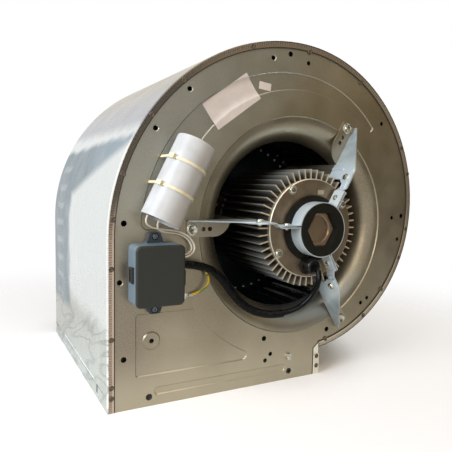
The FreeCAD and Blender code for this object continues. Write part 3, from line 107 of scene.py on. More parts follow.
# Routes of the cables, in millimetres from the fan axis; the sleeved one sags a little below its CAD tube
CABLE_ROUTE = ((-6.5, -39.0, -45.5), (-6.5, -54.0, -45.5), (-8.0, -58.5, -60.0),
               (-12.5, -54.5, -76.0), (-22.0, -47.5, -90.5), (-36.0, -41.0, -98.5),
               (-53.0, -34.5, -102.5), (-71.0, -27.5, -101.0), (-88.5, -20.5, -92.5),
               (-103.0, -15.5, -76.0), (-116.5, -13.0, -56.0), (-138.0, -12.0, -40.5),
               (-171.0, -12.0, -37.0))
SLEEVE_RUN = 5
LEAD_OUTER = ((-209.5, -21.2, 19.2), (-212.6, -20.8, 12.6), (-206.5, -18.0, 6.0),
              (-195.0, -14.5, 2.8), (-182.0, -11.5, 1.2), (-169.0, -10.0, -1.0),
              (-158.0, -10.0, -6.0), (-151.0, -10.0, -14.0), (-149.0, -10.0, -22.5),
              (-155.5, -10.0, -29.6), (-166.0, -10.0, -30.8), (-171.0, -10.0, -30.9))
LEAD_INNER = ((-197.0, -21.2, 13.0), (-199.0, -19.5, 6.5), (-193.0, -15.5, 0.5),
              (-181.5, -11.0, -2.0), (-169.0, -7.5, -3.6), (-158.5, -7.0, -8.5),
              (-152.5, -7.0, -16.0), (-151.5, -7.0, -22.5), (-156.5, -6.8, -27.6),
              (-166.0, -6.8, -29.2), (-171.0, -6.8, -29.4))
EARTH_ROUTE = ((-171.0, -4.2, -40.5), (-157.0, -4.4, -41.0), (-144.5, -5.0, -41.9),
               (-134.0, -6.5, -47.5), (-129.0, -7.5, -57.5), (-132.5, -7.2, -67.5),
               (-142.0, -3.4, -74.8), (-152.0, -2.2, -76.4))

# Clinch dimples of the folded seams, x and z from the fan axis
SCROLL_CLINCHES = ((-241.1, 13.2), (-230.1, 61.7), (-198.2, 126.6), (-160.7, 167.4), (-73.8, 215.8),
                   (9.9, 220.2), (95.8, 191.6), (176.2, 107.9), (190.5, 71.6), (192.7, -8.8),
                   (181.7, -50.6), (149.7, -94.7), (117.8, -129.9), (51.7, -155.2),
                   (-243.3, -40.7), (-243.3, -118.9), (-243.3, -172.9), (-243.3, -185.0))
OUTLET_CLINCHES = ((37.3, -177.3), (37.3, -190.5))

# Small turned shapes as radius and height, from the rim or the seat to the middle
DIMPLE = ((3.1, 0.0), (2.8, 0.4), (2.2, 0.55), (1.6, 0.3), (1.0, 0.08), (0.0, 0.06))
BLADE_TAB = ((2.2, 0.0), (1.9, 0.9), (1.0, 1.4), (0.0, 1.5))
FOOT_SHANK = ((0.0, 0.0), (3.0, 0.0), (3.0, 9.0), (2.4, 9.8), (0.0, 9.8))
LUG_SHANK = ((0.0, 0.0), (2.0, 0.0), (2.0, 10.5), (1.2, 11.5), (0.0, 11.5))

# Pan heads: radius, height and the recess's share of the radius
SHIELD_HEAD = (4.5, 2.4, 0.52)
LUG_HEAD = (3.6, 2.2, 0.55)

# The feet's bolts: flats, height of the hexagon and flange radius, and how far the seat lies behind the face
FOOT_HEAD = (10.0, 3.6, 7.0)
FOOT_SEAT = 3.9

# Two tabs for each blade as radius and turn in degrees, and the angle of the first blade
TAB_SPOTS = ((114.0, 0.0), (123.5, 0.4))
FIRST_BLADE = 68.0

# Motor brackets: angles of the legs, and their screws as reach, depth, the faces below and above, size, head
LEG_ANGLES = (180.0, 60.0, -60.0)
LEG_SCREWS = ((78.7, -35.0, 11.0, 8.0, 2.5, 2.4), (46.0, -42.0, 6.5, 3.0, 2.0, 1.8),
              (46.0, 118.0, 6.5, 3.0, 2.0, 1.8))
SOLE_BACK = -2.0         # the feet's soles lie between this depth and the plate

# Front ends of the motor frame's fins
FIN_FRONT = -23.6

# End shields' screws: radius of their circle and angle of the first; and the front shield's face
SHIELD_SCREWS = (55.8, 32.0)
SHIELD_FACE = -29.0

# Terminal box: its middle, half its width to the latches, half its height, and its lug screws
BOX_X = -196.0
BOX_Z = -47.0
BOX_HALF = 28.3
BOX_HALF_H = 33.5
LUG_SCREWS = (-6.0, -88.0)
LUG_SEAT_Y = -5.5

# Labels: left bare; centre x and z, width, height and slope in degrees. Each starts a little off the plate
# and is smoothed for some rounds, and the rays that find the plate start well in front of it.
RATING_LABEL = (-99.0, 150.0, 70.0, 35.0, 36.0)
SMALL_LABEL = (-53.9, 171.8, 17.0, 9.0, -6.0)
LABEL_LIFT = 0.2 * MM
LABEL_ROUNDS = 70
RAY_START = 20.0 * MM


class FanSizes(bpy.types.PropertyGroup):
    """The camera's lens, the sizes of the cables and the seam, and the number of blades"""
    lens: FloatProperty(name="Lens", description="Focal length on a 36 mm wide frame",
                        default=40.38, min=10.0, max=200.0)
    cable: FloatProperty(name="Motor cable", description="Diameter of the motor cable",
                         default=6.5 * MM, unit="LENGTH", subtype="DISTANCE")
    sleeve: FloatProperty(name="Sleeve", description="Diameter of the sleeve on the motor cable",
                          default=9.5 * MM, unit="LENGTH", subtype="DISTANCE")
    lead: FloatProperty(name="Capacitor lead", description="Diameter of a capacitor lead",
                        default=2.2 * MM, unit="LENGTH", subtype="DISTANCE")
    earth: FloatProperty(name="Earth wire", description="Diameter of the earth wire",
                         default=3.0 * MM, unit="LENGTH", subtype="DISTANCE")
    rib_pitch: FloatProperty(name="Seam rib pitch", description="Distance between ribs of the rolled seam",
                             default=2.6 * MM, unit="LENGTH", subtype="DISTANCE")
    blades: IntProperty(name="Blades", description="Blades in each row of the wheel", default=48)


class FanColours(bpy.types.PropertyGroup):
    """Main colour of each finish"""
    wrap: StringProperty(name="Wrap", description="Bright galvanised sheet", default="#dadedb")
    # painted reflection: colour of the wrap's blue grey bands
    wrap_reflection: StringProperty(name="Wrap shade", description="Its blue grey patches", default="#798d98")
    plate: StringProperty(name="Side plate", description="Dull galvanised sheet", default="#9c937e")
    plate_shade: StringProperty(name="Side plate shade", description="Its darker patches", default="#877e69")
    lip: StringProperty(name="Lip", description="Rolled seam over the top", default="#716350")
    zinc: StringProperty(name="Bracket", description="Zinc plated pressings", default="#a4b1b7")
    casting: StringProperty(name="Casting", description="Cast end shields", default="#84755f")
    fins: StringProperty(name="Fins", description="Finned frame", default="#9b9c94")
    wheel: StringProperty(name="Wheel", description="Black coated wheel", default="#1d2527")
    rubber: StringProperty(name="Rubber", description="Resilient rings", default="#121109")
    case: StringProperty(name="Capacitor", description="White moulded case", default="#c6c8c8")
    tie: StringProperty(name="Ties", description="Natural nylon", default="#e4dbbb")
    # the box's blue grey is the lit tone and the lid's dark grey the shaded tone of one plastic: painted
    # light
    box: StringProperty(name="Terminal box", description="Blue grey moulding", default="#6d7d87")
    lid: StringProperty(name="Box lid", description="Dark grey moulding", default="#31332f")
    sheath: StringProperty(name="Cable", description="Black sheath", default="#0a0b0b")
    lead: StringProperty(name="Leads", description="Cream sleeving", default="#e2dccf")
    earth: StringProperty(name="Earth wire", description="Yellow insulation", default="#d6b41c")
    earth_stripe: StringProperty(name="Earth stripe", description="Green stripe", default="#4e7a2c")
    label: StringProperty(name="Label", description="Bare label paper", default="#d9d0ca")
    floor: StringProperty(name="Floor", description="Pale floor", default="#fbfbfb")


def sizes():
    """The panel's sizes."""
    return bpy.context.scene.fan_sizes


def colours():
    """The panel's colours."""
    return bpy.context.scene.fan_colours


def linear(text):
    """An sRGB hex colour as linear red, green, blue and alpha."""
    channels = [int(text[k:k + 2], 16) / 255.0 for k in (1, 3, 5)]
    return [c / 12.92 if c <= 0.04045 else ((c + 0.055) / 1.055) ** 2.4 for c in channels] + [1.0]


# Materials

MATH, RANGE, MIX, BUMP = "ShaderNodeMath", "ShaderNodeMapRange", "ShaderNodeMix", "ShaderNodeBump"
NOISE, WAVE, PLACE = "ShaderNodeTexNoise", "ShaderNodeTexWave", "ShaderNodeTexCoord"
MAPPING, VECTOR, SPLIT = "ShaderNodeMapping", "ShaderNodeVectorMath", "ShaderNodeSeparateXYZ"


def add(tree, kind, inputs=None, out=0, **settings):
    """Adds a node with its settings, sets or links its inputs, and returns one of its outputs, or the node
    itself where no output is wanted."""
    made = tree.nodes.new(kind)
    for name, value in settings.items():
        setattr(made, name, value)
    for name, value in (inputs or {}).items():
        if isinstance(value, bpy.types.NodeSocket):
            tree.links.new(value, made.inputs[name])
        else:
            made.inputs[name].default_value = value
    return made if out is None else made.outputs[out]


def new_material(name):
    """An empty node material, and `add` bound to its nodes."""
    material = bpy.data.materials.new(name)
    material.use_nodes = True
    material.node_tree.nodes.clear()
    return material, partial(add, material.node_tree)


def surface(material, **inputs):
    """The material's surface and output; underscores in names stand for spaces."""
    named = {name.replace("_", " "): value for name, value in inputs.items()}
    shader = add(material.node_tree, "ShaderNodeBsdfPrincipled", named)
    add(material.node_tree, "ShaderNodeOutputMaterial", {"Surface": shader}, None)
    return material


def fan_place(node):
    """Object place in millimetres from the fan axis and the front plate, as a vector and as three numbers."""
    vector = node(MAPPING, {"Vector": node(PLACE, out="Object"), "Scale": (1 / MM,) * 3,
                            "Location": -at(0, 0, 0) / MM})
    parts = node(SPLIT, {0: vector}, None).outputs
    return vector, parts["X"], parts["Y"], parts["Z"]


def polar(node, x, z):
    """The vector across the fan axis with these parts, and its length."""
    flat = node("ShaderNodeCombineXYZ", {0: x, 2: z})
    return flat, node(VECTOR, {0: flat}, "Value", operation="LENGTH")


def away(node, value, middle):
    """How far a value is from a middle, either way."""
    return node(MATH, {0: node(MATH, {0: value, 1: middle}, operation="SUBTRACT")}, operation="ABSOLUTE")


def mask(node, *parts, share=1.0, soft=True):
    """Product of its parts, from 0 to the share. A part is a mask, or a value with the start and end of a
    rise from 0 to 1, which is eased where it is soft."""
    ease = "SMOOTHSTEP" if soft else "LINEAR"
    whole = share
    for part in parts:
        if isinstance(part, tuple):
            part = node(RANGE, dict(enumerate(part)), interpolation_type=ease)
        whole = part if whole == 1.0 else node(MATH, {0: whole, 1: part}, operation="MULTIPLY")
    return whole


def patched(node, base, tone, *parts, **how):
    """The base colour with a tone laid over it through the mask of these parts."""
    base, tone = (linear(colour) if isinstance(colour, str) else colour for colour in (base, tone))
    return node(MIX, {0: mask(node, *parts, **how), 6: base, 7: tone}, 2, data_type="RGBA")


def clouds(node, place, scale, detail, low=0.3, high=0.7, first=0.0, last=1.0):
    """Soft patches of noise, spread from the first value to the last."""
    noise = node(NOISE, {"Vector": place, "Scale": scale, "Detail": detail})
    return node(RANGE, {0: noise, 1: low, 2: high, 3: first, 4: last})


def grained(node, place, scale, depth):
    """Surface normal with a fine grain of this depth in millimetres."""
    grain = node(NOISE, {"Vector": place, "Scale": scale, "Detail": 2.0})
    return node(BUMP, {"Height": grain, "Distance": depth * MM})


def mottled(name, light, dark, patch_mm, metallic, roughness, spread, grain_mm, grain_depth, **more):
    """A finish with soft patches of two colours, uneven gloss and a fine grain."""
    material, node = new_material(name)
    place = node(PLACE, out="Object")
    patches = clouds(node, place, 1 / (patch_mm * MM), 3.0)
    base = patched(node, dark, light, patches)
    gloss = node(RANGE, {0: patches, 3: roughness + spread, 4: roughness - spread})
    return surface(material, Base_Color=base, Metallic=metallic, Roughness=gloss,
                   Normal=grained(node, place, 1 / (grain_mm * MM), grain_depth), **more)


def bright_galvanised():
    """Hot-dip galvanised strip: nearly a mirror, off-white, with painted reflections in its colour: blue grey
    bands that follow the sheet's curve, lighter windows in them, and a lilac and then a warmer tone over the
    top. It is greyer towards the bottom, with long fine streaks and handling wrinkles above the rim; painted
    shade darkens the wrinkles, a painted highlight runs along the folded front edge and the bead, and painted
    shadow lies round the slot."""
    material, node = new_material("bright galvanised sheet")
    place, x, front, height = fan_place(node)
    # the patches' edges wander with a slow noise
    drift = node(NOISE, {"Vector": place, "Scale": 1 / 34.0, "Detail": 3.0})
    y = node(MATH, {0: drift, 1: 34.0, 2: front}, operation="MULTIPLY_ADD")
    z = node(MATH, {0: drift, 1: -16.0, 2: height}, operation="MULTIPLY_ADD")
    # painted reflections: a blue grey band up the sheet behind its middle, and one that runs across the curve
    # towards the front
    band = mask(node, (y, 218.0, 248.0), (z, 75.0, 20.0), (z, -150.0, -132.0))
    upper = node(MATH, {0: y, 1: 0.034, 2: z}, operation="MULTIPLY_ADD")
    lower = node(MATH, {0: y, 1: 0.30, 2: z}, operation="MULTIPLY_ADD")
    across = mask(node, (upper, 104.0, 92.0), (lower, 84.0, 104.0))
    cool_reflection = node(MATH, {0: band, 1: across}, operation="MAXIMUM")
    cool_reflection = mask(node, cool_reflection, (x, -40.0, -110.0))
    # painted reflections of windows, lighter, within the bands
    window_reflections = node(MATH, {0: z, 1: math.tau / 27.0}, operation="MULTIPLY")
    window_reflections = node(MATH, {0: window_reflections}, operation="SINE")
    window_reflections = mask(node, (window_reflections, 0.1, 0.9), (y, 268.0, 284.0), (y, 334.0, 318.0), share=0.25)
    cool_reflection = node(MATH, {0: cool_reflection, 1: window_reflections}, operation="SUBTRACT", use_clamp=True)
    low = mask(node, (z, -105.0, -135.0))
    # painted reflection: a lilac and then a warmer tone over the top
    base = patched(node, colours().wrap, "#a6a6a9", (z, 98.0, 118.0))
    base = patched(node, base, "#a1977f", (z, 122.0, 176.0))
    base = patched(node, base, "#afb2aa", low)
    # blue grey of the painted reflections, deeper towards the back
    shade = patched(node, colours().wrap_reflection, "#62757f", (y, 110.0, 190.0))
    base = patched(node, base, shade, cool_reflection)
    # fine streaks along the strip
    along = node(MAPPING, {"Vector": place, "Scale": (0.05, 1.0, 0.05)})
    streaks = node(NOISE, {"Vector": along, "Scale": 0.35, "Detail": 4.0})
    base = patched(node, base, "#9ba6a9", (streaks, 0.4, 0.75), share=0.12, soft=False)
    # painted highlight along the folded front edge, and the lip's dark cut edge right of the top
    fold_highlight = mask(node, mask(node, (front, 2.4, 1.2), soft=False), (z, 115.0, 70.0))
    base = patched(node, base, "#f0f2ee", fold_highlight)
    cut = mask(node, mask(node, (front, 0.1, 0.0), soft=False), (x, -90.0, -40.0))
    base = patched(node, base, "#3b3328", cut)
    # wrinkles above the rim: wandering creases with a real bump, darkened along them as painted shade
    bent = node(MAPPING, {"Vector": place, "Scale": (1.0, 3.0, 0.7), "Rotation": (-0.33, 0, 0)},
                vector_type="TEXTURE")
    creases = node(NOISE, {"Vector": bent, "Scale": 1 / 40.0, "Detail": 1.2, "Distortion": 0.6})
    creases = mask(node, (away(node, creases, 0.5), 0.055, 0.0), low)
    base = patched(node, base, "#7f8783", creases, share=0.62)
    # painted highlight along the stiffening bead's crest, and painted shadow round the slot beside it
    bead = (BEAD_Y[0] + BEAD_Y[1]) / 2, (BEAD_Y[1] - BEAD_Y[0]) / 2
    left_side = (x, FLAT_X + 3.0, FLAT_X + 2.0)
    for across, half, along, reach, tone in (
            ((height, BEAD_Z), 1.1, (front, bead[0]), bead[1], "#dfe7e8"),
            ((front, SLOT_AT[0]), 3.6, (height, SLOT_AT[1]), 4.6, "#0d0e10")):
        near = mask(node, (away(node, *across), half, half * 0.7), (away(node, *along), reach, reach * 0.95),
                    left_side, soft=False)
        base = patched(node, base, tone, near)
        cut = node(MATH, {0: cut, 1: near}, operation="MAXIMUM")
    sheen = node(MATH, {0: fold_highlight, 1: cut}, operation="MAXIMUM")
    sheen = node(RANGE, {0: sheen, 3: 0.85, 4: 0.2})
    gloss = node(RANGE, {0: drift, 1: 0.3, 2: 0.7, 3: 0.22, 4: 0.32})
    relief = node(BUMP, {"Height": drift, "Distance": 0.5 * MM})
    relief = node(BUMP, {"Height": creases, "Distance": 0.4 * MM, "Normal": relief})
    return surface(material, Base_Color=base, Metallic=sheen, Roughness=gloss, Normal=relief)


def worn_galvanised():
    """Galvanised sheet of the outlet wall, brushed by handling: pale, satin, soft patches."""
    return mottled("handled galvanised sheet", "#e2dfcd", "#c8c3b0", 22.0, 0.15, 0.5, 0.05, 0.8, 0.02)


def dull_galvanised():
    """Galvanised sheet, pressed: satin, warm grey, faintly mottled, with a fine speckle; its colour carries
    painted reflections, cooler towards the upper left and warmer and lighter towards the bottom, and painted
    light and shade on the drawn inlet."""
    material, node = new_material("dull galvanised sheet")
    place, x, y, z = fan_place(node)
    patches = clouds(node, place, 1 / 90.0, 4.0, 0.35, 0.68)
    base = patched(node, colours().plate_shade, colours().plate, patches)
    slant = node(MATH, {0: x, 1: -0.8, 2: z}, operation="MULTIPLY_ADD")
    # drawn ring of the inlet: painted shade at its left, a cooler painted reflection below and browner
    # painted shade at its right
    drawn = mask(node, (polar(node, x, z)[1], 140.0, 127.0))
    for tone, share, *parts in (
            # painted reflections: cooler towards the upper left and lighter towards the bottom; then a
            # browner patch towards the lower left
            ("#8c908c", 0.6, (slant, 120.0, 250.0)),
            ("#83796a", 0.8, (x, -175.0, -225.0), (z, 20.0, -60.0)),
            ("#b9b19b", 0.65, (z, -125.0, -190.0)),
            ("#3a372e", 0.6, (x, -55.0, -100.0), (z, 30.0, -20.0), drawn),
            ("#a3a9a9", 0.6, (z, -60.0, -112.0), (x, -70.0, 10.0), drawn),
            ("#5c4f3e", 0.4, (x, 80.0, 112.0), (z, -75.0, -30.0), drawn)):
        base = patched(node, base, tone, *parts, share=share)
    speckle = clouds(node, place, 1 / 1.8, 2.0, 0.45, 0.75, last=0.4)
    base = patched(node, base, "#a69f8b", speckle)
    # pale lap at the outlet's inner corner, with a dark line along its edge
    across = node(MATH, {0: x, 1: CORNER_LAP[0]}, operation="SUBTRACT")
    rise = node(MATH, {0: across, 1: 0.87, 2: CORNER_LAP[1]}, operation="MULTIPLY_ADD")
    rise = node(MATH, {0: rise, 1: z}, operation="SUBTRACT")
    rise = node(MATH, {0: rise, 1: 0.75}, operation="MULTIPLY")
    side = node(MATH, {0: across, 1: rise}, operation="MINIMUM")
    corner = (x, OUTLET_X + 1.0, OUTLET_X + 0.6)
    base = patched(node, base, "#e4e0cd", (side, 0.0, 0.8), corner, soft=False)
    base = patched(node, base, "#3a352a", (away(node, side, 0.0), 1.1, 0.5), corner, soft=False)
    gloss = clouds(node, place, 1 / 35.0, 3.0, first=0.3, last=0.42)
    relief = node(BUMP, {"Height": speckle, "Distance": 0.05 * MM})
    return surface(material, Base_Color=base, Metallic=0.85, Roughness=gloss, Normal=relief)


def rolled_seam():
    """Seam rolled over by a ribbed wheel: tan down the straight side and darker round the scroll, with ribs
    across it whose grooves carry painted shade, a smooth lighter strip inside them, and a painted shadow line
    where it meets the plate."""
    material, node = new_material("rolled galvanised seam")
    place, x, y, z = fan_place(node)
    parts = node(SPLIT, {0: node("ShaderNodeUVMap", uv_map="seam")}, None).outputs
    run, inset = parts["X"], parts["Y"]
    curved = mask(node, (z, -25.0, 45.0))
    base = patched(node, "#a08d7d", "#453e33", curved)
    base = patched(node, base, colours().lip, (z, 150.0, 215.0))
    base = patched(node, base, "#8c806b", (x, 60.0, 150.0), share=0.85)
    pale = mask(node, (x, 0.0, 60.0), share=0.9, soft=False)
    base = patched(node, base, "#b8b29c", pale, (z, -60.0, -110.0))
    # ribs across the run, a little unevenly spaced, with painted shade in their grooves
    ribs_and_groove_shade = node(MATH, {0: run, 1: math.tau / sizes().rib_pitch}, operation="MULTIPLY")
    wander = node(NOISE, {"Vector": place, "Scale": 0.5})
    ribs_and_groove_shade = node(MATH, {0: wander, 1: 5.0, 2: ribs_and_groove_shade}, operation="MULTIPLY_ADD")
    ribs_and_groove_shade = node(MATH, {0: ribs_and_groove_shade}, operation="SINE")
    ribs_and_groove_shade = mask(node, ribs_and_groove_shade, (inset, RIBS_END[1], RIBS_END[0]), soft=False)
    depth = node(RANGE, {0: curved, 3: 0.32, 4: 0.6})
    base = patched(node, base, "#463b30", depth, (ribs_and_groove_shade, 0.1, 0.9), soft=False)
    smooth = mask(node, (inset, *RIBS_END), share=0.5, soft=False)
    smooth = node(MATH, {0: curved, 1: -0.5, 2: smooth}, operation="MULTIPLY_ADD", use_clamp=True)
    base = patched(node, base, "#d6c6b4", smooth)
    # painted shadow: a dark line where the lip meets the plate
    base = patched(node, base, "#231a12", (inset, 7.0 * MM, 7.4 * MM), soft=False)
    bright = node(RANGE, {0: curved, 3: 0.5, 4: 0.15})
    relief = node(BUMP, {"Height": ribs_and_groove_shade, "Distance": 0.25 * MM})
    return surface(material, Base_Color=base, Metallic=bright, Roughness=0.5, Normal=relief)


def clinch_metal():
    """Clinched sheet, coloured dark in soft patches: painted shade of the dimples' hollows."""
    return mottled("clinched sheet", "#6d6153", "#3a3128", 2.0, 0.5, 0.4, 0.05, 0.5, 0.02)


def zinc_plated():
    """Bright zinc with a blue passivation, slightly cloudy, with a painted highlight towards the clamp rings;
    the soles against the plate carry a duller greyer painted reflection."""
    material, node = new_material("blue zinc plated steel")
    place, x, y, z = fan_place(node)
    base = patched(node, "#8a979d", colours().zinc, clouds(node, place, 1 / 16.0, 3.0))
    # painted highlight, brighter towards the clamp rings
    base = patched(node, base, "#d6e3e8", (polar(node, x, z)[1], 112.0, 84.0), share=0.8)
    # painted reflection: the soles duller and greyer
    sole_reflection = mask(node, (y, SOLE_BACK, SOLE_BACK + 0.3), soft=False)
    base = patched(node, base, "#9c9381", sole_reflection)
    sheen = node(RANGE, {0: sole_reflection, 3: 0.4, 4: 0.85})
    return surface(material, Base_Color=base, Metallic=sheen, Roughness=0.3,
                   Normal=grained(node, place, 1.2, 0.008))


def zinc_fastener():
    """Zinc with a yellowish passivation on rolled screws: bright, with darker patches."""
    return mottled("zinc plated fasteners", "#cfcec1", "#8f8b7b", 3.0, 0.9, 0.2, 0.06, 0.5, 0.01)


def box_screw_metal():
    """Steel of the small screws in the box's lugs, coloured dark grey: painted shade of the lugs' recesses.
    """
    return mottled("dark steel with painted shade", "#7d8284", "#4c4f50", 3.0, 0.8, 0.3, 0.06, 0.5, 0.01)


def blade_tab_metal():
    """Ends of the blades turned over through the disc: small pale dots."""
    return mottled("pale blade tabs", "#d5dbdc", "#8b9294", 3.0, 0.2, 0.3, 0.05, 0.5, 0.01)


def cast_shield():
    """Pressure die-cast aluminium, left as cast: brownish grey, sandy, with a bright machined rim."""
    material, node = new_material("die-cast aluminium, as cast")
    place, x, y, z = fan_place(node)
    base = patched(node, "#6b5d4c", colours().casting, clouds(node, place, 1 / 16.0, 4.0))
    flat, reach = polar(node, x, z)
    base = patched(node, base, "#c0aa90", (reach, 24.5, 23.5), share=0.8, soft=False)
    # the four screws' seats, folded onto one by turning them to the axes
    seats = node(MAPPING, {"Vector": flat, "Rotation": (0, math.radians(SHIELD_SCREWS[1]), 0)})
    seats = node(SPLIT, {0: node(VECTOR, {0: seats}, operation="ABSOLUTE")}, None).outputs
    far = node(MATH, {0: seats["X"], 1: seats["Z"]}, operation="MAXIMUM")
    far = node(MATH, {0: far, 1: SHIELD_SCREWS[0]}, operation="SUBTRACT")
    near = node(MATH, {0: seats["X"], 1: seats["Z"]}, operation="MINIMUM")
    seats = mask(node, (polar(node, far, near)[1], 5.9, 5.6), share=0.85, soft=False)
    rim = mask(node, (reach, 60.0, 60.5), share=0.85, soft=False)
    rim = node(MATH, {0: rim, 1: seats}, operation="MAXIMUM")
    pad = node(MATH, {0: y, 1: SHIELD_FACE - 0.4}, operation="LESS_THAN")
    off_boss = node(MATH, {0: reach, 1: 40.0}, operation="GREATER_THAN")
    base = patched(node, base, "#b3a793", pad, off_boss)
    base = patched(node, base, "#cbc4b2", rim)
    # the boss's dish is smoother
    gloss = node(RANGE, {0: reach, 1: 17.2, 2: 17.0, 3: 0.4, 4: 0.22})
    return surface(material, Base_Color=base, Metallic=0.75, Roughness=gloss,
                   Normal=grained(node, place, 1.2, 0.06))


def finned_casting():
    """Die-cast aluminium fins: light grey with tan cut ends, and painted shade darkening them between the
    fins and towards the rear."""
    material, node = new_material("die-cast aluminium fins")
    place, x, y, z = fan_place(node)
    # painted shade between the fins
    base = patched(node, "#4e4d49", colours().fins, (polar(node, x, z)[1], 61.0, 73.0), soft=False)
    base = patched(node, base, "#cbb89b", (y, FIN_FRONT + 0.6, FIN_FRONT + 0.2), soft=False)
    # painted shade, darker towards the rear
    base = patched(node, base, "#191815", (y, -26.0, 38.0), share=0.96, soft=False)
    return surface(material, Base_Color=base, Metallic=0.3, Roughness=0.45,
                   Normal=grained(node, place, 1.0, 0.05))


def wheel_coating():
    """Black electro-coat on steel: thin, half gloss, greenish blue where it catches light."""
    return mottled("black electro-coated steel", colours().wheel, "#0b0f11", 25.0, 0.0, 0.26, 0.05, 1.2, 0.01,
                   Specular_IOR_Level=0.35, Specular_Tint=linear("#9fc4cc"))


def moulded_rubber():
    """Moulded rubber: matt black with a slight bloom."""
    return mottled("moulded black rubber", colours().rubber, "#1b1a16", 8.0, 0.0, 0.6, 0.08, 0.6, 0.03,
                   Specular_IOR_Level=0.1)


def moulded_case():
    """Moulded polypropylene: white, half gloss, faintly mottled."""
    return mottled("white moulded polypropylene", colours().case, "#b3b4b4", 30.0, 0.0, 0.34, 0.05, 1.5, 0.01,
                   Specular_IOR_Level=0.3)


def natural_nylon():
    """Natural nylon: ivory, smooth."""
    return mottled("natural nylon", colours().tie, "#d8cda8", 5.0, 0.0, 0.35, 0.05, 0.5, 0.01)


def box_moulding():
    """Moulded ABS: spark-eroded fine texture; its blue grey is the lit tone of the lid's dark grey plastic,
    painted light, and its lugs are darker, painted shade.
    """
    material, node = new_material("blue grey moulded plastic")
    place, x, y, z = fan_place(node)
    patches = node(NOISE, {"Vector": place, "Scale": 1 / 20.0, "Detail": 3.0})
    base = patched(node, "#64747d", colours().box, patches)
    lugs = (away(node, z, BOX_Z), BOX_HALF_H, BOX_HALF_H + 1.0)
    # painted shade: darker lugs
    base = patched(node, base, "#333c42", lugs, soft=False)
    return surface(material, Base_Color=base, Roughness=0.42, Specular_IOR_Level=0.3,
                   Normal=grained(node, place, 1.6, 0.02))


def lid_moulding():
    """Moulded ABS, dark grey: spark-eroded fine texture, its lit skirt in the box's lighter tone: painted
    light.
    """
    material, node = new_material("dark grey moulded plastic")
    place, x, y, z = fan_place(node)
    # painted light: the skirt takes the box's lit tone
    inside = node(MATH, {0: away(node, x, BOX_X), 1: BOX_HALF}, operation="LESS_THAN")
    base = patched(node, colours().lid, colours().box, inside, (y, -26.5, -24.0), soft=False)
    return surface(material, Base_Color=base, Roughness=0.42, Specular_IOR_Level=0.2,
                   Normal=grained(node, place, 1.6, 0.03))


def black_moulding():
    """Moulded polyamide, black: half gloss with a light grain."""
    return mottled("black moulded polyamide", "#151515", "#0c0c0c", 6.0, 0.0, 0.18, 0.04, 0.5, 0.01,
                   Specular_IOR_Level=0.3)


def cream_moulding():
    """Moulded polyamide, cream, inside the box."""
    return mottled("cream moulded polyamide", "#d8d0b8", "#c6bda2", 6.0, 0.0, 0.4, 0.05, 0.5, 0.01)


def black_sheath():
    """Extruded soft sheath: black and glossy, with a slight unevenness from the extruder."""
    return mottled("black cable sheath", colours().sheath, "#060606", 12.0, 0.0, 0.1, 0.02, 1.5, 0.03,
                   Specular_IOR_Level=0.1)


def black_sleeve():
    """Slipped-on sleeve: black, soft and shiny, with creases where it bends."""
    material, node = new_material("black sleeving")
    creases = node(NOISE, {"Vector": node(PLACE, out="Object"), "Scale": 1 / (6.0 * MM), "Detail": 5.0})
    gloss = node(RANGE, {0: creases, 1: 0.35, 2: 0.65, 3: 0.05, 4: 0.14})
    base = patched(node, "#020303", "#070808", creases)
    relief = node(BUMP, {"Height": creases, "Distance": 2.4 * MM})
    return surface(material, Base_Color=base, Roughness=gloss, Specular_IOR_Level=0.1, Normal=relief)


def lead_sleeving():
    """Extruded silicone sleeving: cream, matt."""
    return mottled("cream silicone sleeving", colours().lead, "#cfc6b4", 10.0, 0.0, 0.45, 0.05, 0.6, 0.01)


def earth_insulation():
    """Two-colour extruded insulation: yellow with a green stripe that winds slowly round the wire."""
    material, node = new_material("green and yellow insulation")
    place = node(PLACE, out="Object")
    along = node(MAPPING, {"Vector": place, "Rotation": (0.0, 0.7, 0.0)})
    wave = node(WAVE, {"Vector": along, "Scale": 30.0}, "Fac", wave_type="BANDS", bands_direction="Z")
    base = patched(node, colours().earth, colours().earth_stripe, (wave, 0.86, 0.9), soft=False)
    return surface(material, Base_Color=base, Roughness=0.36,
                   Normal=grained(node, place, 1 / (0.8 * MM), 0.01))


def label_paper():
    """Coated label film: off-white, satin, left bare."""
    return mottled("bare label film", colours().label, "#cec5be", 12.0, 0.0, 0.38, 0.05, 0.7, 0.01,
                   Specular_IOR_Level=0.3)


def ground_steel():
    """Ground steel: bright, with a fine grain."""
    return mottled("ground steel", "#b9b9b6", "#8f8f8c", 6.0, 0.95, 0.25, 0.05, 0.5, 0.01)


def core_plates():
    """Stacked silicon steel plates: dull grey with fine lines across the stack."""
    material, node = new_material("stacked core plates")
    lines = node(WAVE, {"Vector": node(PLACE, out="Object"), "Scale": 320.0}, "Fac", wave_type="BANDS",
                 bands_direction="Y")
    base = patched(node, "#4c4d50", "#6d6e72", lines)
    relief = node(BUMP, {"Height": lines, "Distance": 0.1 * MM})
    return surface(material, Base_Color=base, Metallic=0.7, Roughness=0.5, Normal=relief)


def varnished_copper():
    """Enamelled copper wire under varnish: orange brown, glossy, in close strands."""
    material, node = new_material("varnished copper winding")
    strands = node(WAVE, {"Vector": node(PLACE, out="Object"), "Scale": 260.0, "Distortion": 2.5}, "Fac",
                   wave_type="RINGS", rings_direction="Y")
    base = patched(node, "#6e3212", "#b0632b", strands)
    relief = node(BUMP, {"Height": strands, "Distance": 0.3 * MM})
    return surface(material, Base_Color=base, Metallic=0.6, Roughness=0.3, Normal=relief)


def tinned_copper():
    """Tinned copper lug: pale, soft sheen."""
    return mottled("tinned copper", "#c9c6bb", "#9c988b", 3.0, 0.9, 0.35, 0.05, 0.4, 0.01)


FINISHES = {}


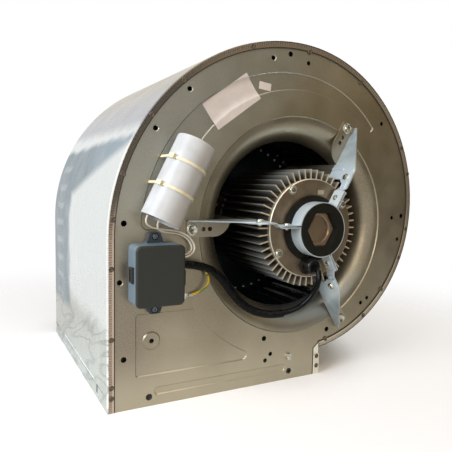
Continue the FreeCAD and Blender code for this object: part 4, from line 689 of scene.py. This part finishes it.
def finish(maker):
    """A material made once and shared by its pieces."""
    if maker not in FINISHES:
        FINISHES[maker] = maker()
    return FINISHES[maker]


def paint(maker, *nodes):
    """Gives CAD nodes a finish in their own material slots."""
    for name in nodes:
        for slot in NODES[name].material_slots:
            slot.material = finish(maker)


# Mesh helpers

SHARP_ANGLE = math.radians(40.0)


def mesh_object(name, bm, material):
    """A mesh object from a bmesh, which is used up."""
    mesh = bpy.data.meshes.new(name)
    bm.to_mesh(mesh)
    bm.free()
    made = bpy.data.objects.new(name, mesh)
    bpy.context.scene.collection.objects.link(made)
    mesh.materials.append(material)
    return made


def new_piece(name, bm, maker, body=HOUSING, replaced=None):
    """A finished piece from a bmesh, shaded smooth up to its sharp edges and riding on its body."""
    bmesh.ops.recalc_face_normals(bm, faces=bm.faces)
    piece = mesh_object(name, bm, finish(maker))
    for polygon in piece.data.polygons:
        polygon.use_smooth = True
    piece.data.set_sharp_from_angle(angle=SHARP_ANGLE)
    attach(piece, body)
    if replaced:
        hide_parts(replaced)


def facing(place, direction, turn=0.0):
    """Matrix that puts a shape built up +Z at a place, pointing along a direction."""
    rotation = Vector(direction).to_track_quat("Z", "Y").to_matrix().to_4x4()
    return Matrix.Translation(place) @ rotation @ Matrix.Rotation(math.radians(turn), 4, "Z")


def joined(target, source, matrix):
    """Adds a small bmesh's shape to another at a place; the small one is used up."""
    mesh = bpy.data.meshes.new("part")
    source.to_mesh(mesh)
    source.free()
    mesh.transform(matrix)
    target.from_mesh(mesh)
    bpy.data.meshes.remove(mesh)


def turned_shape(profile, segments=32):
    """A shape turned round Z from a profile of radius and height, in millimetres."""
    bm = bmesh.new()
    verts = [bm.verts.new((r * MM, 0.0, z * MM)) for r, z in profile]
    edges = [bm.edges.new(pair) for pair in zip(verts, verts[1:])]
    bmesh.ops.spin(bm, geom=verts + edges, cent=(0, 0, 0), axis=(0, 0, 1), angle=math.tau,
                   steps=segments, use_merge=True)
    bmesh.ops.remove_doubles(bm, verts=bm.verts, dist=1e-7)
    return bm


def widened(bm, edges, scale, rise):
    """Extrudes a closed rim, scales it about Z and lifts it; returns the new rim."""
    made = bmesh.ops.extrude_edge_only(bm, edges=edges)["geom"]
    verts = [g for g in made if isinstance(g, bmesh.types.BMVert)]
    bmesh.ops.scale(bm, vec=(scale, scale, 1.0), verts=verts)
    bmesh.ops.translate(bm, vec=(0.0, 0.0, rise * MM), verts=verts)
    return [g for g in made if isinstance(g, bmesh.types.BMEdge) and all(v in verts for v in g.verts)]


def loop_of(bm, points):
    """A closed loop of edges through a few points in millimetres."""
    verts = [bm.verts.new((x * MM, y * MM, z * MM)) for x, y, z in points]
    return [bm.edges.new((verts[k - 1], verts[k])) for k in range(len(verts))]


def circle(bm, radius, height, segments):
    """A closed loop of even edges round Z, in millimetres, turned over so that it starts on +X."""
    over = Matrix.Rotation(math.radians(180.0), 4, Vector((1.0, 1.0, 0.0)))
    place = Matrix.Translation((0.0, 0.0, height * MM)) @ over
    verts = bmesh.ops.create_circle(bm, segments=segments, radius=radius * MM, matrix=place)["verts"]
    return [edge for edge in bm.edges if edge.verts[0] in verts and edge.verts[1] in verts]


def cross_recess(size, height):
    """Outline of a cross recess."""
    arm = size * 0.28
    points = []
    for c, s in ((1, 0), (0, 1), (-1, 0), (0, -1)):
        points += [(x * c - y * s, x * s + y * c, height) for x, y in ((size, -arm), (size, arm), (arm, arm))]
    return points


def pan_head(radius, height, recess=0.5):
    """A pan head with its cross recess, its seat at height 0."""
    bm = bmesh.new()
    rim = circle(bm, radius * 0.78, height, 28)
    mouth = loop_of(bm, cross_recess(radius * recess, height))
    bmesh.ops.triangle_fill(bm, edges=rim + mouth, use_beauty=True)
    floor = widened(bm, mouth, 0.8, -height * 0.6)
    bmesh.ops.edgeloop_fill(bm, edges=floor)
    for scale, drop in ((1.18, 0.2), (1.087, 0.35), (1.0, 0.45)):
        rim = widened(bm, rim, scale, -height * drop)
    bmesh.ops.edgeloop_fill(bm, edges=rim)
    return bm


def flange_bolt(flats, head, flange_r):
    """Hexagon head with a rounded top, dished centre and a round flange, its seat at height 0."""
    corner = flats / math.sqrt(3.0)
    bm = turned_shape(((0.0, 0.0), (flange_r, 0.0), (flange_r, 0.7), (corner * 0.95, 1.3), (0.0, 1.3)), 32)
    hexed = bmesh.new()
    rim = circle(hexed, corner * 0.9, 1.0 + head, 6)
    low = widened(hexed, rim, 1.0 / 0.9, -0.5)
    low = widened(hexed, low, 1.0, 0.6 - head)
    dish = widened(hexed, rim, 0.72, 0.0)
    dish = widened(hexed, dish, 0.8, -0.5)
    bmesh.ops.edgeloop_fill(hexed, edges=dish)
    joined(bm, hexed, Matrix())
    return bm


def islands(node):
    """Lowest and highest corners of each separate solid of a CAD node."""
    bm = bmesh.new()
    bm.from_mesh(NODES[node].data)
    bmesh.ops.remove_doubles(bm, verts=bm.verts, dist=1e-6)
    found, seen = [], set()
    for start in bm.verts:
        if start in seen:
            continue
        group, stack = [], [start]
        seen.add(start)
        while stack:
            vert = stack.pop()
            group.append(vert.co)
            for edge in vert.link_edges:
                other = edge.other_vert(vert)
                if other not in seen:
                    seen.add(other)
                    stack.append(other)
        low = Vector([min(co[axis] for co in group) for axis in range(3)])
        high = Vector([max(co[axis] for co in group) for axis in range(3)])
        found.append((low, high))
    bm.free()
    return found


# Pieces

def scroll_arcs():
    """Centre, radius and headings of the scroll's arcs, from the flat face round to the outlet."""
    arcs = []
    x, z, heading = FLAT_X, SCROLL_START, 90.0
    for index, radius in enumerate(SCROLL_R):
        h = math.radians(heading)
        cx = x + radius * math.sin(h)
        cz = z - radius * math.cos(h)
        if index < len(SCROLL_TURN):
            last = heading - SCROLL_TURN[index]
        else:
            last = -180.0 + math.degrees(math.asin((OUTLET_X - cx) / radius))
        arcs.append((cx, cz, radius, heading, last))
        heading = last
        h = math.radians(heading)
        x = cx - radius * math.sin(h)
        z = cz + radius * math.cos(h)
    return arcs


def seam_strip(bm, layer, start, place, steps):
    """Spins or slides the strip's end edge along one stretch and lays out its length and width."""
    cx, cz, radius, first, last, length = place
    ends = [bm.verts.new(end) for end in start]
    edge = bm.edges.new(ends)
    before = set(bm.faces)
    if radius:
        bmesh.ops.spin(bm, geom=ends + [edge], cent=at(cx, 0, cz), axis=(0, 1, 0),
                       angle=math.radians(first - last), steps=steps)
    else:
        made = bmesh.ops.extrude_edge_only(bm, edges=[edge])["geom"]
        verts = [g for g in made if isinstance(g, bmesh.types.BMVert)]
        bmesh.ops.translate(bm, vec=(0.0, 0.0, -length * MM), verts=verts)
    for face in set(bm.faces) - before:
        for loop in face.loops:
            co = loop.vert.co
            if radius:
                dx, dz = co.x - at(cx, 0, cz).x, co.z - at(cx, 0, cz).z
                along = (math.atan2(dz, -dx) % math.tau) * radius * MM
                across = radius * MM - math.hypot(dx, dz)
            else:
                along, across = -co.z, co.x - at(FLAT_X, 0, 0).x
            loop[layer].uv = (along, across)


def seam_band(name, y):
    """Ribbed band rolled into the folded lip, round the scroll and down the flat face."""
    bm = bmesh.new()
    layer = bm.loops.layers.uv.new("seam")
    for cx, cz, radius, first, last in scroll_arcs():
        h = math.radians(first)
        ends = [at(cx - (radius - inset) * math.sin(h), y, cz + (radius - inset) * math.cos(h))
                for inset in SEAM_W]
        seam_strip(bm, layer, ends, (cx, cz, radius, first, last, 0.0), int((first - last) / SEAM_STEP))
    ends = [at(FLAT_X + inset, y, SCROLL_START) for inset in SEAM_W]
    seam_strip(bm, layer, ends, (0.0, 0.0, 0.0, 0.0, 0.0, SCROLL_START - RIM_Z - SEAM_END), 1)
    bmesh.ops.solidify(bm, geom=bm.faces, thickness=THIN)
    new_piece(name, bm, rolled_seam)


def clinches(name, y, direction):
    """Round clinch dimples along the seams: a raised ring with a sunken middle."""
    bm = bmesh.new()
    for x, z in SCROLL_CLINCHES + OUTLET_CLINCHES:
        joined(bm, turned_shape(DIMPLE, 20), facing(at(x, y, z), direction))
    new_piece(name, bm, clinch_metal)


def surface_tree(node):
    """A CAD node's surface, to cast rays on."""
    bm = bmesh.new()
    bm.from_mesh(NODES[node].data)
    tree = BVHTree.FromBMesh(bm)
    bm.free()
    return tree


def label(name, place, tree):
    """A sticker laid on the plate, so that it spans the sunk panel below it and sags only a little."""
    x, z, width, height, slope = place
    bm = bmesh.new()
    bmesh.ops.create_grid(bm, x_segments=90, y_segments=45, size=0.5)
    bmesh.ops.scale(bm, vec=(width * MM, height * MM, 1.0), verts=bm.verts)
    turn = Matrix.Rotation(-math.radians(slope), 4, "Y") @ Matrix.Rotation(math.radians(90.0), 4, "X")
    bmesh.ops.transform(bm, matrix=Matrix.Translation(at(x, 0.0, z)) @ turn, verts=bm.verts)
    for vert in bm.verts:
        hit = tree.ray_cast(Vector((vert.co.x, FRONT - RAY_START, vert.co.z)), Vector((0, 1, 0)))[0]
        vert.co.y = (hit.y if hit else FRONT) - LABEL_LIFT
    lifted = {vert: vert.co.y for vert in bm.verts}
    for _ in range(LABEL_ROUNDS):
        bmesh.ops.smooth_vert(bm, verts=bm.verts, factor=0.5, use_axis_y=True)
        for vert, y in lifted.items():
            vert.co.y = min(vert.co.y, y)
    bmesh.ops.solidify(bm, geom=bm.faces, thickness=THIN)
    new_piece(name, bm, label_paper)


class FAN_OT_sheet_metal(bpy.types.Operator):
    """Finishes the scroll's sheets and adds the rolled seams and their clinches"""
    bl_idname = "fan.sheet_metal"
    bl_label = "Sheet Metal"

    def execute(self, context):
        paint(bright_galvanised, "scroll_wrap")
        paint(worn_galvanised, "cutoff_plate")
        paint(dull_galvanised, "side_plate_front", "side_plate_back")
        front, back = -SHEET, (BACK - FRONT) / MM + SHEET
        seam_band("seam_front", front - SEAM_OFF)
        seam_band("seam_back", back + SEAM_OFF)
        clinches("clinches_front", front - CLINCH_OFF, (0, -1, 0))
        clinches("clinches_back", back + CLINCH_OFF, (0, 1, 0))
        return {"FINISHED"}


class FAN_OT_labels(bpy.types.Operator):
    """Adds the two bare labels of the front plate"""
    bl_idname = "fan.labels"
    bl_label = "Labels"

    def execute(self, context):
        tree = surface_tree("side_plate_front")
        label("rating_label", RATING_LABEL, tree)
        label("small_label", SMALL_LABEL, tree)
        return {"FINISHED"}


class FAN_OT_wheel(bpy.types.Operator):
    """Finishes the wheel and adds the bright tabs of its blades"""
    bl_idname = "fan.wheel"
    bl_label = "Wheel"

    def execute(self, context):
        paint(wheel_coating, "blades_front", "blades_back", "end_ring_front", "end_ring_back", "wheel_disc")
        paint(cast_shield, "wheel_hub")
        paint(zinc_fastener, "hub_rivets")
        paint(ground_steel, "shaft", "hub_set_screw")
        for name, y, direction in (("blade_tabs_front", DISC_LOW.y, (0, -1, 0)),
                                   ("blade_tabs_back", DISC_HIGH.y, (0, 1, 0))):
            bm = bmesh.new()
            pitch = 360.0 / sizes().blades
            for k in range(sizes().blades):
                for radius, turn in TAB_SPOTS:
                    angle = math.radians(FIRST_BLADE + turn - pitch * k)
                    place = at(radius * math.cos(angle), 0.0, radius * math.sin(angle))
                    place.y = y
                    joined(bm, turned_shape(BLADE_TAB, 8), facing(place, direction))
            new_piece(name, bm, blade_tab_metal, ROTOR)
        return {"FINISHED"}


class FAN_OT_motor(bpy.types.Operator):
    """Finishes the motor and replaces its plain screws"""
    bl_idname = "fan.motor"
    bl_label = "Motor"

    def execute(self, context):
        paint(cast_shield, "end_shield_front", "end_shield_rear")
        paint(finned_casting, "motor_frame")
        paint(moulded_rubber, "rubber_ring_front", "rubber_ring_rear")
        paint(core_plates, "stator_core", "rotor_core")
        paint(varnished_copper, "winding_front", "winding_rear")
        paint(ground_steel, "bearing_front_inner", "bearing_front_outer", "bearing_rear_inner",
              "bearing_rear_outer", "preload_washer")
        bm = bmesh.new()
        middle = sum(corners("motor_frame"), Vector()) / 2
        for low, high in islands("end_shield_screws"):
            place = (low + high) / 2
            front = place.y < middle.y
            seat = SHIELD_HEAD[1] * MM
            place.y = low.y + seat if front else high.y - seat
            joined(bm, pan_head(*SHIELD_HEAD), facing(place, (0, -1 if front else 1, 0), turn=20.0))
        new_piece("shield_screw_heads", bm, zinc_fastener, replaced="end_shield_screws")
        return {"FINISHED"}


def cross_screws():
    """Pan screws and nuts across the legs: the long one through the foot, and one at each band."""
    bm = bmesh.new()
    for angle in LEG_ANGLES:
        a = math.radians(angle)
        out = Vector((math.cos(a), 0.0, math.sin(a)))
        side = Vector((math.sin(a), 0.0, -math.cos(a)))
        for reach, y, below, above, radius, head in LEG_SCREWS:
            spot = at(0, y, 0) + out * reach * MM
            joined(bm, pan_head(radius * 1.8, head), facing(spot + side * below * MM, side, turn=25.0))
            nut = turned_shape(((radius * 1.7, 0.0), (radius * 1.7, 1.2), (radius * 1.5, 1.4), (radius, 1.4),
                                (radius, 2.6), (radius * 0.8, 2.8), (0.0, 2.8)), 24)
            joined(bm, nut, facing(spot + side * above * MM, -side))
    new_piece("leg_screw_heads", bm, zinc_fastener, replaced="leg_screws")


class FAN_OT_mounting(bpy.types.Operator):
    """Finishes the motor's brackets and bands and replaces their plain fasteners"""
    bl_idname = "fan.mounting"
    bl_label = "Mounting"

    def execute(self, context):
        for kind in ("motor_foot", "motor_leg", "front_band", "rear_band"):
            paint(zinc_plated, *["%s_%d" % (kind, k) for k in (1, 2, 3)])
        paint(zinc_fastener, "foot_nuts")
        bm = bmesh.new()
        for low, high in islands("foot_bolts"):
            place = (low + high) / 2
            place.y = low.y + FOOT_SEAT * MM
            joined(bm, flange_bolt(*FOOT_HEAD), facing(place, (0, -1, 0), turn=15.0))
            place.y -= 0.2 * MM     # the shank starts inside the head
            joined(bm, turned_shape(FOOT_SHANK, 20), facing(place, (0, 1, 0)))
        cross_screws()
        new_piece("foot_bolt_heads", bm, zinc_fastener, replaced="foot_bolts")
        return {"FINISHED"}


class FAN_OT_capacitor(bpy.types.Operator):
    """Finishes the capacitor and its ties"""
    bl_idname = "fan.capacitor"
    bl_label = "Capacitor"

    def execute(self, context):
        paint(moulded_case, "capacitor_can", "capacitor_lid")
        paint(natural_nylon, "cable_tie_upper", "cable_tie_lower")
        return {"FINISHED"}


class FAN_OT_terminal_box(bpy.types.Operator):
    """Finishes the terminal box, its strip, its screws and the earth parts"""
    bl_idname = "fan.terminal_box"
    bl_label = "Terminal Box"

    def execute(self, context):
        paint(box_moulding, "terminal_box")
        paint(lid_moulding, "terminal_box_lid")
        paint(cream_moulding, "terminal_strip")
        paint(zinc_fastener, "earth_screws")
        bm = bmesh.new()
        for z in LUG_SCREWS:
            place = at(BOX_X, LUG_SEAT_Y, z)
            joined(bm, pan_head(*LUG_HEAD), facing(place, (0, -1, 0), turn=30.0))
            joined(bm, turned_shape(LUG_SHANK, 16), facing(place, (0, 1, 0)))
        new_piece("box_screw_heads", bm, box_screw_metal, replaced="terminal_box_screws")
        paint(tinned_copper, "earth_lug")
        paint(black_moulding, "cable_gland", "cable_gland_nut")
        return {"FINISHED"}


def cord_piece(node, route, diameter, maker):
    """A cord on the CAD route: a smooth curve with the route's points as its control points. Each point's
    radius is the cord's own, because Blender counts it in the curve's box."""
    name = node + "_line"
    curve = bpy.data.curves.new(name, "CURVE")
    curve.dimensions = "3D"
    curve.bevel_depth = 1.0
    curve.bevel_resolution = 4
    curve.resolution_u = 10
    curve.use_fill_caps = True
    spline = curve.splines.new("NURBS")
    spline.points.add(len(route) - 1)
    for spot, place in zip(spline.points, route):
        spot.co = (*at(*place), 1.0)
        spot.radius = diameter / 2
    spline.order_u = 3
    spline.use_endpoint_u = True
    piece = bpy.data.objects.new(name, curve)
    bpy.context.scene.collection.objects.link(piece)
    curve.materials.append(finish(maker))
    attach(piece, HOUSING)
    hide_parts(node)
    curve_length(piece)


def curve_length(piece):
    """Length of a curve's own line."""
    depth = piece.data.bevel_depth
    piece.data.bevel_depth = 0.0
    bpy.context.view_layer.update()
    mesh = bpy.data.meshes.new_from_object(piece.evaluated_get(bpy.context.evaluated_depsgraph_get()))
    piece.data.bevel_depth = depth
    ends = [[mesh.vertices[index].co for index in edge.vertices] for edge in mesh.edges]
    length = sum((first - last).length for first, last in ends)
    bpy.data.meshes.remove(mesh)
    return length


def sleeve_route():
    """The cable's route from the middle of the run where the sleeve begins."""
    before, after = (Vector(CABLE_ROUTE[k]) for k in (SLEEVE_RUN, SLEEVE_RUN + 1))
    return [tuple((before + after) / 2)] + list(CABLE_ROUTE[SLEEVE_RUN + 1:])


class FAN_OT_cables(bpy.types.Operator):
    """Lays the motor cable, its sleeve, the capacitor leads and the earth wire"""
    bl_idname = "fan.cables"
    bl_label = "Cables"

    def execute(self, context):
        size = sizes()
        cord_piece("motor_cable", CABLE_ROUTE, size.cable, black_sheath)
        cord_piece("cable_sleeve", sleeve_route(), size.sleeve, black_sleeve)
        for node, route in (("capacitor_lead_outer", LEAD_OUTER), ("capacitor_lead_inner", LEAD_INNER)):
            cord_piece(node, route, size.lead, lead_sleeving)
        cord_piece("earth_wire", EARTH_ROUTE, size.earth, earth_insulation)
        return {"FINISHED"}


# Stage

CAMERA_AT = at(-385.3, -534.2, 57.3)
CAMERA_RIGHT = (0.8858, -0.4637, 0.0198)
CAMERA_UP = (0.0243, 0.0889, 0.9957)
CAMERA_BACK = (-0.4634, -0.8816, 0.0900)

# Lamps: name, place, target, size, power and tint
LAMPS = (("window", (-1.6, -0.5, 0.9), (0.0, 0.0, 0.2), 1.0, 34.0, "#e8f2ff"),
         ("ceiling", (-0.2, -0.7, 1.8), (0.0, 0.0, 0.2), 1.6, 14.0, "#fff0dd"),
         ("fill", (-0.6, -1.1, 0.5), (0.0, 0.1, 0.2), 0.4, 2.5, "#fff4e8"))

# Dark cards: name, place and the way they face
CARDS = (("front_card", (1.5, -1.45, 0.75), (-0.6, 0.8, 0.0)),
         ("side_card", (2.25, 0.1, 0.75), (-1.0, 0.0, 0.0)))


def area_light(name, place, target, size, power, tint):
    """A round soft light at a place, aimed at a target."""
    lamp = bpy.data.lights.new(name, "AREA")
    lamp.shape = "DISK"
    lamp.size = size
    lamp.energy = power
    lamp.color = linear(tint)[:3]
    light = bpy.data.objects.new(name, lamp)
    bpy.context.scene.collection.objects.link(light)
    aim = Vector(target) - Vector(place)
    light.matrix_world = Matrix.Translation(place) @ aim.to_track_quat("-Z", "Y").to_matrix().to_4x4()


def floor_material():
    """Pale studio floor: whole under the outlet, half clear round the fan, and gone before its edge, so that
    it keeps the shadow and has no edge against the white."""
    material, node = new_material("pale studio floor")
    under = at((FLAT_X + OUTLET_X) / 2, (BACK - FRONT) / MM / 2, RIM_Z)
    place = node(VECTOR, {0: node(PLACE, out="Object"), 1: under}, operation="SUBTRACT")
    reach = node(VECTOR, {0: place}, "Value", operation="LENGTH")
    half, rest = (mask(node, (reach, *ends), share=0.5) for ends in ((0.22, 0.3), (0.3, 0.85)))
    fade = node(MATH, {0: half, 1: rest}, operation="ADD")
    pale = node("ShaderNodeBsdfDiffuse", {"Color": linear(colours().floor)})
    clear = node("ShaderNodeBsdfTransparent")
    blend = node("ShaderNodeMixShader", {0: fade, 1: pale, 2: clear})
    node("ShaderNodeOutputMaterial", {"Surface": blend}, None)
    return material


def card_material():
    """Dark card beside the camera's view, lighter towards its top, which the metal's front faces mirror."""
    material, node = new_material("dark card")
    height = node(SPLIT, {0: node(PLACE, out="Object")}, "Z")
    strength = node(RANGE, {0: height, 1: 0.3, 2: 0.7, 3: 1.0, 4: 6.6})
    shade = node("ShaderNodeEmission", {"Color": linear("#4a4234"), "Strength": strength})
    node("ShaderNodeOutputMaterial", {"Surface": shade}, None)
    return material


def stage_sheet(name, half, matrix, material):
    """A flat sheet of the studio, which isn't part of the fan."""
    bm = bmesh.new()
    bmesh.ops.create_grid(bm, x_segments=1, y_segments=1, size=half)
    bmesh.ops.transform(bm, matrix=matrix, verts=bm.verts)
    sheet = mesh_object(name, bm, material)
    return sheet


class FAN_OT_stage(bpy.types.Operator):
    """Sets up the pale floor, the soft light and the camera"""
    bl_idname = "fan.stage"
    bl_label = "Stage"

    def execute(self, context):
        scene = context.scene
        scene.view_settings.view_transform = "Standard"
        camera = bpy.data.objects.new("camera", bpy.data.cameras.new("camera"))
        scene.collection.objects.link(camera)
        camera.data.lens = sizes().lens
        camera.data.sensor_width = 36.0
        camera.data.clip_start = 0.01
        turn = Matrix((CAMERA_RIGHT, CAMERA_UP, CAMERA_BACK)).transposed().to_4x4()
        camera.matrix_world = Matrix.Translation(CAMERA_AT) @ turn
        scene.camera = camera

        stage_sheet("floor", 2.0, Matrix(), floor_material())
        shade = card_material()
        for name, place, way in CARDS:
            card = stage_sheet(name, 1.0, facing(Vector(place), way), shade)
            card.visible_camera = False
            card.visible_shadow = False

        world = bpy.data.worlds.new("studio")
        scene.world = world
        world.use_nodes = True
        world.node_tree.nodes.clear()
        # rays from the camera and off gloss or glass see white, and the rest see the dim warm room
        node = partial(add, world.node_tree)
        rays = node("ShaderNodeLightPath", out=None).outputs
        seen = node(MATH, {0: rays["Is Camera Ray"], 1: rays["Is Glossy Ray"]}, operation="MAXIMUM")
        seen = node(MATH, {0: seen, 1: rays["Is Transmission Ray"]}, operation="MAXIMUM")
        room = node("ShaderNodeBackground", {"Color": linear("#ffeedb"), "Strength": 0.32})
        white = node("ShaderNodeBackground", {"Color": linear("#ffffff"), "Strength": 1.0})
        blend = node("ShaderNodeMixShader", {0: seen, 1: room, 2: white})
        node("ShaderNodeOutputWorld", {"Surface": blend}, None)

        for lamp in LAMPS:
            area_light(*lamp)
        return {"FINISHED"}


class FAN_PT_panel(bpy.types.Panel):
    """Lists the fan's operators and values"""
    bl_idname = "FAN_PT_panel"
    bl_label = "Centrifugal Fan"
    bl_space_type = "VIEW_3D"
    bl_region_type = "UI"
    bl_category = "Fan"

    def draw(self, context):
        for operator in OPERATORS:
            self.layout.operator(operator.bl_idname)
        for group in (context.scene.fan_sizes, context.scene.fan_colours):
            for name in group.__annotations__:
                self.layout.prop(group, name)


OPERATORS = (FAN_OT_stage, FAN_OT_cables, FAN_OT_sheet_metal, FAN_OT_labels, FAN_OT_wheel, FAN_OT_motor,
             FAN_OT_mounting, FAN_OT_capacitor, FAN_OT_terminal_box)
CLASSES = (FanSizes, FanColours) + OPERATORS + (FAN_PT_panel,)


def register():
    for cls in CLASSES:
        bpy.utils.register_class(cls)
    bpy.types.Scene.fan_sizes = PointerProperty(type=FanSizes)
    bpy.types.Scene.fan_colours = PointerProperty(type=FanColours)


def unregister():
    del bpy.types.Scene.fan_colours
    del bpy.types.Scene.fan_sizes
    for cls in reversed(CLASSES):
        bpy.utils.unregister_class(cls)


def main():
    register()
    bpy.ops.fan.stage()
    bpy.ops.fan.cables()
    bpy.ops.fan.sheet_metal()
    bpy.ops.fan.labels()
    bpy.ops.fan.wheel()
    bpy.ops.fan.motor()
    bpy.ops.fan.mounting()
    bpy.ops.fan.capacitor()
    bpy.ops.fan.terminal_box()


if __name__ == "__main__":
    main()
